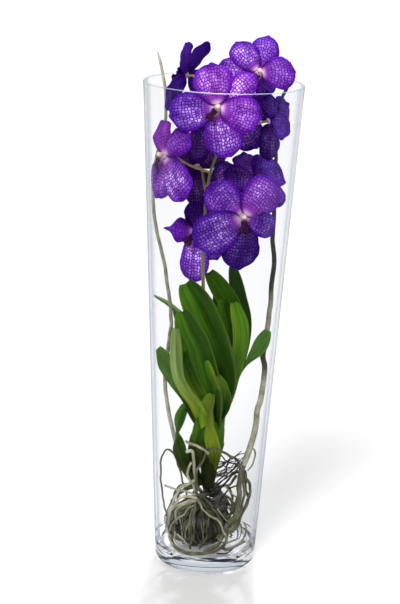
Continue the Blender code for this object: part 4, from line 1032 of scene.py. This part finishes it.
def make_lip(bloom, finish):
    """Two raised side lobes and a broad ridged middle lobe with a notched end."""
    facing = bloom_axes(bloom)[0]
    outward = way_out(bloom, bloom.lip)
    side = np.cross(facing, outward)
    rise = HUB_HALF + GAP * MM + 0.6 * LIP_THICKNESS
    foot = np.array(bloom.centre) * MM + facing * rise + outward * LIP_START
    u = np.linspace(0, 1, 21)[:, None]
    v = np.linspace(-1, 1, 13)[None, :]
    half = 0.5 * LIP_WIDTH * np.interp(u, *zip(*LIP_WIDTHS))
    lobes = 0.9 * half * np.clip(1 - 2.2 * u, 0, None) * v ** 2
    ridges = 0.0006 * np.cos(3 * math.pi * v) * smooth_step(u / 0.2)
    reach = LIP_LENGTH * u * (1 - 0.10 * (1 - np.abs(v)) * smooth_step((u - 0.85) / 0.15))
    height = LIP_RISE * np.sin(2.4 * u) + lobes + ridges
    surface = foot + outward * reach[..., None] + side * (half * v)[..., None] + facing * height[..., None]
    surface = inside_vase(surface, LIP_THICKNESS)
    blades = Blades()
    blades.add(surface, np.full(surface.shape[:2], LIP_THICKNESS), place=grid(u, v, 1.0))
    blades.piece(f"{bloom.name}_lip", finish, f"bloom_{bloom.name}_lip", "lip_maroon")


def strand_tree():
    """Geometry nodes that turn marked lines into tubes with a slight random waver."""
    tree = bpy.data.node_groups.new("strands", "GeometryNodeTree")
    tree.interface.new_socket("Lines", in_out="INPUT", socket_type="NodeSocketGeometry")
    for name in ("Sides", "Seed"):
        tree.interface.new_socket(name, in_out="INPUT", socket_type="NodeSocketInt")
    for name in ("Waver", "Waver scale"):
        tree.interface.new_socket(name, in_out="INPUT", socket_type="NodeSocketFloat")
    tree.interface.new_socket("Finish", in_out="INPUT", socket_type="NodeSocketMaterial")
    tree.interface.new_socket("Tubes", in_out="OUTPUT", socket_type="NodeSocketGeometry")
    nodes = Nodes(tree)
    given = tree.nodes.new("NodeGroupInput")
    lines, sides, seed, waver, waver_scale, finish = [Wire(nodes, socket) for socket in given.outputs[:6]]
    curves = nodes.node("GeometryNodeMeshToCurve", None, {"Mesh": lines})
    field = nodes.node("ShaderNodeTexNoise", {"noise_dimensions": "4D"},
                       {"W": seed * 1.0, "Scale": waver_scale, "Detail": 2.0}, "Color")
    centred = nodes.node("ShaderNodeVectorMath", {"operation": "SUBTRACT"}, {0: field, 1: (0.5, 0.5, 0.5)})
    loose = nodes.node("GeometryNodeInputNamedAttribute", {"data_type": "FLOAT"}, {"Name": "loose"})
    offset = nodes.node("ShaderNodeVectorMath", {"operation": "SCALE"},
                        {0: centred, "Scale": loose * waver})
    moved = nodes.node("GeometryNodeSetPosition", None, {"Geometry": curves, "Offset": offset})
    radius = nodes.node("GeometryNodeInputNamedAttribute", {"data_type": "FLOAT"}, {"Name": "thick"})
    ring = nodes.node("GeometryNodeCurvePrimitiveCircle", None, {"Resolution": sides, "Radius": 1.0})
    tubes = nodes.node("GeometryNodeCurveToMesh", None,
                       {"Curve": moved, "Profile Curve": ring, "Scale": radius, "Fill Caps": True})
    real = nodes.node("GeometryNodeRealizeInstances", None, {"Geometry": tubes})
    painted = nodes.node("GeometryNodeSetMaterial", None, {"Geometry": real, "Material": finish})
    result = tree.nodes.new("NodeGroupOutput")
    tree.links.new(painted.socket, result.inputs[0])
    return tree


class Strand(NamedTuple):
    """A path for a tube: its points, and at each its radius, how pale it is and how freely it wavers."""

    path: np.ndarray
    radii: np.ndarray
    pale: np.ndarray
    loose: np.ndarray


def strand_piece(name, strands, finish, node, sides, waver=0.0, waver_scale=60.0, seed=1):
    """One mesh of tubes along the strands, made by the strand tree."""
    mesh = bpy.data.meshes.new(name + "_lines")
    places = np.vstack([strand.path for strand in strands])
    edges = []
    start = 0
    for strand in strands:
        edges += [(start + index, start + index + 1) for index in range(len(strand.path) - 1)]
        start += len(strand.path)
    mesh.from_pydata(places.tolist(), edges, [])
    for mark, values in (("thick", [s.radii for s in strands]), ("pale", [s.pale for s in strands]),
                         ("loose", [s.loose for s in strands])):
        mesh.attributes.new(mark, "FLOAT", "POINT").data.foreach_set("value", np.concatenate(values))
    lines = bpy.data.objects.new(name + "_lines", mesh)
    bpy.context.scene.collection.objects.link(lines)
    modifier = lines.modifiers.new("strands", "NODES")
    modifier.node_group = STRANDS
    settings = {"Sides": sides, "Seed": seed, "Waver": waver, "Waver scale": waver_scale, "Finish": finish}
    for item in STRANDS.interface.items_tree:
        if item.in_out == "INPUT" and item.name in settings:
            modifier[item.identifier] = settings[item.name]
    seen = lines.evaluated_get(bpy.context.evaluated_depsgraph_get())
    made = bpy.data.meshes.new_from_object(seen)
    made.name = name
    bpy.data.objects.remove(lines, do_unlink=True)
    finish_piece(name, made, finish, node)


def even_strand(route, start, end, pale, spacing=0.003, margin=0.0):
    """A strand along a smooth route in millimetres, its radius and paleness changing evenly."""
    corners = points(route)
    length = np.linalg.norm(np.diff(corners, axis=0), axis=1).sum()
    path = smooth_route(corners, max(6, round(length / spacing)))
    share = np.linspace(0, 1, len(path))
    path = inside_vase(path, max(start, end) * MM + margin)
    ends_fixed = np.clip(np.minimum(share, 1 - share) * 8, 0, 1)
    radii = (start + (end - start) * share) * MM
    return Strand(path, radii, pale[0] + (pale[1] - pale[0]) * share, ends_fixed)


def pedicel_route(bloom, spike):
    """From the stalk, some way below the bloom, to the back of its hub, in millimetres."""
    facing = bloom_axes(bloom)[0]
    centre = np.array(bloom.centre, dtype=float)
    end = centre - facing * (HUB_HALF / MM + 2 * GAP)
    aim = end - np.array([0, 0, bloom.drop])
    start = min(spike / MM, key=lambda point: np.linalg.norm(point - aim))
    before_end = end - facing * PEDICEL_NECK
    if bloom.round:
        return [start, *(np.array(point) for point in bloom.round), before_end, end]
    middle = start + (before_end - start) * 0.55 - np.array([0, 0, PEDICEL_SAG])
    return [start, middle, before_end, end]


def make_stalk(finish):
    spike = smooth_route(points(SPIKE_ROUTE), 16)
    strands = [even_strand(spike / MM, SPIKE_RADIUS, SPIKE_TIP * SPIKE_RADIUS, (0.1, 0.1), 0.004)]
    start, end = (share * PEDICEL_RADIUS for share in PEDICEL_ENDS)
    for bloom in BLOOMS:
        strands.append(even_strand(pedicel_route(bloom, spike), start, end, (0.6, 0.6), 0.0025))
    strand_piece("flower_stalk", strands, finish, "flower_spike",
                 sides=14, waver=0.0006, waver_scale=50)


def make_columns(finish):
    """The pale knob in the middle of each bloom, with a swollen cap at its end."""
    share = np.linspace(0, 1, 14)
    for bloom in BLOOMS:
        facing = bloom_axes(bloom)[0]
        towards_lip = way_out(bloom, bloom.lip)
        rise = HUB_HALF + GAP * MM
        foot = np.array(bloom.centre) * MM + facing * rise - towards_lip * COLUMN_SHIFT
        bend = COLUMN_BEND * share ** 2
        path = foot + facing * (COLUMN_LENGTH * share)[:, None] + towards_lip * bend[:, None]
        radii = COLUMN_RADIUS * np.interp(share, *zip(*COLUMN_WIDTHS))
        strand = Strand(path, radii, share, 0 * share)
        strand_piece(f"{bloom.name}_column", [strand], finish, f"bloom_{bloom.name}_column",
                     sides=16)


def make_stem(finish):
    """The stem between the leaves, ringed where the old leaves grew."""
    path = smooth_route(points(STEM_ROUTE), STEM_ROWS)
    path[0, 2] = STEM_FOOT
    known = np.array([(radius, place, 0) for place, radius in enumerate(STEM_RADII)], float)
    share = np.linspace(0, 1, STEM_ROWS)
    radii = MM * smooth_route(known, STEM_ROWS)[:, 0] * (0.94 + 0.05 * (share * STEM_RINGS % 1))
    turns = np.linspace(0, 2 * math.pi, STEM_SIDES + 1)
    ring = np.stack([np.cos(turns), np.sin(turns), 0 * turns], axis=-1)
    surface = path[:, None] + radii[:, None, None] * ring
    green = np.ones((*surface.shape[:2], 4))
    low = np.array(GREENS["olive"]) * 0.5
    high = np.array(GREENS["mid"])
    green[..., :3] = low + (high - low) * smooth_step((share - 0.1) / 0.5)[:, None, None]
    place = grid(4 * share[:, None], np.cos(turns) * 0.6 + 0.3, 3.0)
    blades = Blades()
    blades.add(surface, np.full(surface.shape[:2], STEM_SKIN), place=place, green=green)
    blades.piece("leafy_stem_core", finish, "leafy_stem", "leaf_green")


def rough_ball(bm, centre, size, amount, detail):
    """A lumpy ball with a flat foot on the vase's floor, for the matted old roots."""
    before = len(bm.verts)
    bmesh.ops.create_icosphere(bm, subdivisions=detail, radius=1.0)
    bm.verts.ensure_lookup_table()
    for vert in bm.verts[before:]:
        x, y, z = vert.co
        swell = 1 + amount * (math.sin(5 * x + 2 * z) + math.sin(6 * y - 3 * x) + math.sin(7 * z + 2 * y))
        ripple = math.sin(23 * x + 9 * y) + math.sin(21 * y - 17 * z) + math.sin(27 * z + 8 * x)
        swell += FINE_LUMPS * ripple
        place = Vector((x * size[0], y * size[1], z * size[2])) * swell + Vector(centre)
        vert.co = place * MM
        vert.co.z = max(vert.co.z, FLOOR + GAP * MM)


def make_root_core(finish):
    bm = bmesh.new()
    rough_ball(bm, CORE_CENTRE, CORE_SIZE, amount=0.03, detail=5)
    rough_ball(bm, LUMP_CENTRE, LUMP_SIZE, amount=0.05, detail=4)
    mesh = bpy.data.meshes.new("old_root_mat")
    bm.to_mesh(mesh)
    bm.free()
    finish_piece("old_root_mat", mesh, finish, "root_tangle")


def back_roots():
    """Roots over the back and sides of the tangle, drawn at random as in the CAD part."""
    draw = random.Random(BACK_ROOT_SEED)
    crown = np.array(CROWN, dtype=float)
    found = []
    for index in range(BACK_ROOTS):
        turn = math.radians(-20 + 200 * (index + draw.uniform(0.2, 0.8)) / BACK_ROOTS)
        out = np.array([math.cos(turn), math.sin(turn), 0])
        reach = draw.uniform(40, 48)
        swing = np.array([-out[1], out[0], 0]) * draw.uniform(-9, 9)
        route = (
            crown,
            crown + 18 * out + np.array([0, 0, draw.uniform(2, 12)]),
            0.86 * reach * out + swing + np.array([-4, 0, draw.uniform(66, 80)]),
            reach * out + swing + np.array([-4, 0, draw.uniform(42, 52)]),
            0.5 * reach * out + np.array([-8, 0, 30]),
        )
        found.append(Root(draw.uniform(1.4, 2.2), draw.uniform(1.1, 1.6), route, 0.35, 0.55))
    return found


def mat_fibres(count):
    """Old thin roots that wrap the matted core, at random from a fixed seed."""
    draw = random.Random(MAT_SEED)
    centre = np.array(CORE_CENTRE)
    size = np.array(CORE_SIZE)
    found = []
    for _ in range(count):
        axis = unit(np.array([draw.gauss(0, 1) for _ in range(3)]))
        start = unit(np.cross(axis, [draw.gauss(0, 1), draw.gauss(0, 1), draw.gauss(0, 1)]))
        other = np.cross(axis, start)
        sweep = draw.uniform(0.7, 2.2)
        route = []
        for share in np.linspace(0, sweep, 7):
            rim = start * math.cos(share) + other * math.sin(share)
            route.append(centre + rim * size * draw.uniform(0.99, 1.08))
        tone = draw.uniform(0.0, 0.35)
        found.append(Root(draw.uniform(0.4, 0.9), draw.uniform(0.3, 0.7), tuple(route), tone, tone))
    return found


def crown_rootlets(count):
    """Thin young roots that fall from the crown over the core, at random from a fixed seed."""
    draw = random.Random(CROWN_SEED)
    crown = np.array(CROWN, dtype=float)
    found = []
    for _ in range(count):
        turn = math.radians(draw.uniform(-40, 60))
        out = np.array([math.cos(turn), math.sin(turn), 0])
        reach = draw.uniform(30, 47)
        start = crown + 8 * out + np.array([0, 0, draw.uniform(-8, 14)])
        knee = 0.6 * reach * out + np.array([-3, 0, draw.uniform(60, 88)])
        low = reach * out + np.array([draw.uniform(-9, 5), 0, draw.uniform(30, 60)])
        foot = 0.8 * reach * out + np.array([draw.uniform(-12, 6), 0, draw.uniform(22, 34)])
        tone = draw.uniform(0.2, 0.6)
        route = (start, knee, low, foot)
        found.append(Root(draw.uniform(0.9, 1.3), draw.uniform(0.6, 0.9), route, tone, tone))
    return found


def front_rootlets(count):
    """Thin roots that run from the knot of roots down over the front of the core, from a fixed seed."""
    draw = random.Random(FRONT_SEED)
    centre = np.array(CORE_CENTRE)
    size = np.array(CORE_SIZE)
    found = []
    for _ in range(count):
        turn = draw.uniform(-150, -25)
        route = [np.array([draw.uniform(-18, -4), draw.uniform(-28, -25), draw.uniform(77, 88)])]
        rises = [draw.uniform(*limits) for limits in ((40, 52), (22, 32), (2, 12), (-32, -15))]
        for rise in rises:
            turn += draw.uniform(-9, 9)
            side = math.cos(math.radians(rise))
            out = np.array([side * math.cos(math.radians(turn)), side * math.sin(math.radians(turn)),
                            math.sin(math.radians(rise))])
            route.append(centre + size * out * draw.uniform(1.04, 1.12))
        tone = draw.uniform(0.15, 0.50) + (0.32 if turn < PALE_SIDE_TURN else 0)
        found.append(Root(draw.uniform(0.6, 1.1), draw.uniform(0.4, 0.7), tuple(route), tone, tone))
    return found


def side_rootlets(count):
    """Thin dark roots that cross from the stem to the right tall root, from a fixed seed."""
    draw = random.Random(SIDE_SEED)
    found = []
    for _ in range(count):
        start = np.array([draw.uniform(7, 11), draw.uniform(-10, -2), draw.uniform(104, 126)])
        end = np.array([draw.uniform(36, 46), draw.uniform(-20, 0), start[2] + draw.uniform(8, 28)])
        route = [start]
        for share in (0.3, 0.55, 0.8):
            sway = np.array([draw.uniform(-2, 2), draw.uniform(-4, 4), draw.uniform(-4, 4)])
            route.append(start + (end - start) * share + sway)
        route.append(end)
        tone = draw.uniform(0.05, 0.42)
        found.append(Root(draw.uniform(0.6, 1.0), draw.uniform(0.35, 0.6), tuple(route), tone, tone))
    return found


def root_strands(roots, spacing):
    strands = []
    for root in roots:
        tones = (root.pale, root.pale_end)
        strands.append(even_strand(root.route, root.start, root.end, tones, spacing, 0.0012))
    return strands


def make_roots(finish):
    """The young roots that the CAD part has too, and the fine ones that it leaves out."""
    young = root_strands((*TANGLE, *back_roots()), 0.0028)
    strand_piece("young_roots", young, finish, "root_tangle",
                 sides=10, waver=0.006, waver_scale=70, seed=3)
    thin = (*THIN_ROOTS, *mat_fibres(MAT_FIBRES), *crown_rootlets(CROWN_ROOTLETS),
            *front_rootlets(FRONT_ROOTLETS), *side_rootlets(SIDE_ROOTLETS))
    strand_piece("fine_roots", root_strands(thin, 0.003), finish, "root_tangle",
                 sides=7, waver=0.004, waver_scale=90, seed=5)


def make_aerial_roots(finish):
    """The two long roots: the left one pale all along, the right one dark above and pale below."""
    for name, root in AERIAL_ROOTS.items():
        strand = even_strand(root.route, root.start, root.end, (0.5, 0.5), 0.003, 0.001)
        pale = np.interp(strand.path[:, 2], *zip(*SKIN_TONES[name]))
        tip = np.minimum(1, LONG_ROOT_TIP + np.linspace(0, 1, len(pale)) * LONG_ROOT_WIDENING)
        strand = strand._replace(pale=pale, radii=strand.radii * tip)
        strand_piece(name + "_skin", [strand], finish, name,
                     sides=14, waver=0.003, waver_scale=45)


def make_vase(finish):
    """A finely lathed glass: thick clear foot with a rounded cavity, thin wall and a fire-polished rim."""
    lip = WALL / 2
    hollow_edge = 0.75 * BASE_RADIUS
    profile = [(0.0, FOOT_HOLLOW), (hollow_edge, FOOT_HOLLOW), (BASE_RADIUS - 1.5 * FOOT_ROUND, 0.0)]
    for step in range(ROUND_STEPS + 1):
        turn = -math.pi / 2 + step * math.pi / 2 / ROUND_STEPS
        profile.append((BASE_RADIUS - FOOT_ROUND * (1 - math.cos(turn)), FOOT_ROUND * (1 + math.sin(turn))))
    for step in range(1, WALL_STEPS):
        height = FOOT_ROUND + (VASE_HEIGHT - FOOT_ROUND - lip) * step / WALL_STEPS
        profile.append((BASE_RADIUS + (RIM_RADIUS - BASE_RADIUS) * height / VASE_HEIGHT, height))
    for step in range(ROUND_STEPS + 1):
        turn = step * math.pi / ROUND_STEPS
        profile.append((RIM_RADIUS - lip + lip * math.cos(turn), VASE_HEIGHT - lip + lip * math.sin(turn)))
    low = FLOOR + CAVITY_ROUND
    for step in range(1, WALL_STEPS):
        height = VASE_HEIGHT - lip - (VASE_HEIGHT - lip - low) * step / WALL_STEPS
        profile.append((inner_radius(height), height))
    corner = inner_radius(low)
    for step in range(ROUND_STEPS + 1):
        turn = step * math.pi / 2 / ROUND_STEPS
        profile.append((corner - CAVITY_ROUND * (1 - math.cos(turn)), low - CAVITY_ROUND * math.sin(turn)))
    profile.append((0.3 * corner, FLOOR - 0.0004))
    profile.append((0.0, FLOOR - 0.0006))
    bm = bmesh.new()
    verts = [bm.verts.new((radius, 0, height)) for radius, height in profile]
    edges = [bm.edges.new(pair) for pair in zip(verts, verts[1:])]
    bmesh.ops.spin(bm, geom=verts + edges, cent=(0, 0, 0), axis=(0, 0, 1),
                   angle=2 * math.pi, steps=VASE_SIDES, use_merge=True)
    bmesh.ops.remove_doubles(bm, verts=bm.verts, dist=1e-6)
    mesh = bpy.data.meshes.new("glass_vase")
    bm.to_mesh(mesh)
    bm.free()
    finish_piece("glass_vase", mesh, finish, "vase")


def make_floor():
    """The plain white ground under the vase."""
    mesh = bpy.data.meshes.new("floor")
    ring = []
    for step in range(GROUND_SIDES):
        turn = 2 * math.pi * step / GROUND_SIDES
        ring.append((GROUND_RADIUS * math.cos(turn), GROUND_RADIUS * math.sin(turn), -GROUND_DROP))
    mesh.from_pydata(ring, [], [list(range(GROUND_SIDES))])
    mesh.materials.append(floor_finish())
    floor = bpy.data.objects.new("floor", mesh)
    bpy.context.scene.collection.objects.link(floor)


def make_camera():
    """The camera at the photograph's viewing angle."""
    pitch, turn, roll = CAMERA_PITCH, CAMERA_TURN, CAMERA_ROLL
    forward = Vector((math.sin(turn) * math.cos(pitch), math.cos(turn) * math.cos(pitch), -math.sin(pitch)))
    level = Vector((math.cos(turn), -math.sin(turn), 0))
    upright = level.cross(forward)
    right = math.cos(roll) * level + math.sin(roll) * upright
    up = math.cos(roll) * upright - math.sin(roll) * level
    data = bpy.data.cameras.new("camera")
    data.lens = LENS_MM
    data.sensor_width = 36
    data.clip_end = 60
    camera = bpy.data.objects.new("camera", data)
    aim = Matrix((right, up, -forward)).transposed().to_4x4()
    camera.matrix_world = Matrix.Translation(CAMERA_PLACE) @ aim
    bpy.context.scene.collection.objects.link(camera)
    bpy.context.scene.camera = camera


def add_sun(name, towards, strength, spread, colour=(1, 1, 1)):
    """A far soft light that stands in the direction `towards`, seen from the vase."""
    data = bpy.data.lights.new(name, "SUN")
    data.energy = strength
    data.angle = math.radians(spread)
    data.color = colour
    light = bpy.data.objects.new(name, data)
    light.rotation_euler = Vector(towards).to_track_quat("Z", "Y").to_euler()
    bpy.context.scene.collection.objects.link(light)


def make_light():
    """A room that is white behind the vase and dim behind the camera, and three soft far lights."""
    world = bpy.data.worlds.new("white_room")
    world.use_nodes = True
    bpy.context.scene.world = world
    nodes = Nodes(world.node_tree)
    direction = nodes.node("ShaderNodeTexCoord", output="Generated")
    depth = nodes.node("ShaderNodeSeparateXYZ", None, {0: direction}, "Y")
    background = world.node_tree.nodes["Background"]
    background.inputs["Color"].default_value = (1.0, 1.0, 1.0, 1)
    strength = 0.16 + 0.74 * depth.fade(-0.5, 0.6)
    world.node_tree.links.new(strength.socket, background.inputs["Strength"])
    add_sun("key", (-0.35, -0.75, 0.95), 3.3, 22, (1.0, 0.99, 0.97))
    add_sun("fill", (0.9, -0.6, 0.4), 0.7, 40, (0.97, 0.98, 1.0))
    add_sun("back", (0.03, 0.55, 0.87), 2.4, 4)
    bpy.context.scene.view_settings.view_transform = "Standard"


STRANDS = strand_tree()
make_camera()
make_light()
make_floor()
green = leaf_finish()
make_leaves(green)
make_stem(green)
make_stalk(stalk_finish())
violet, maroon = petal_finish(), lip_finish()
for bloom in BLOOMS:
    make_petals(bloom, violet)
    make_lip(bloom, maroon)
make_columns(column_finish())
make_root_core(old_root_finish())
make_roots(root_finish("root_skin"))
make_aerial_roots(root_finish("aerial_root_skin"))
make_vase(glass_finish())
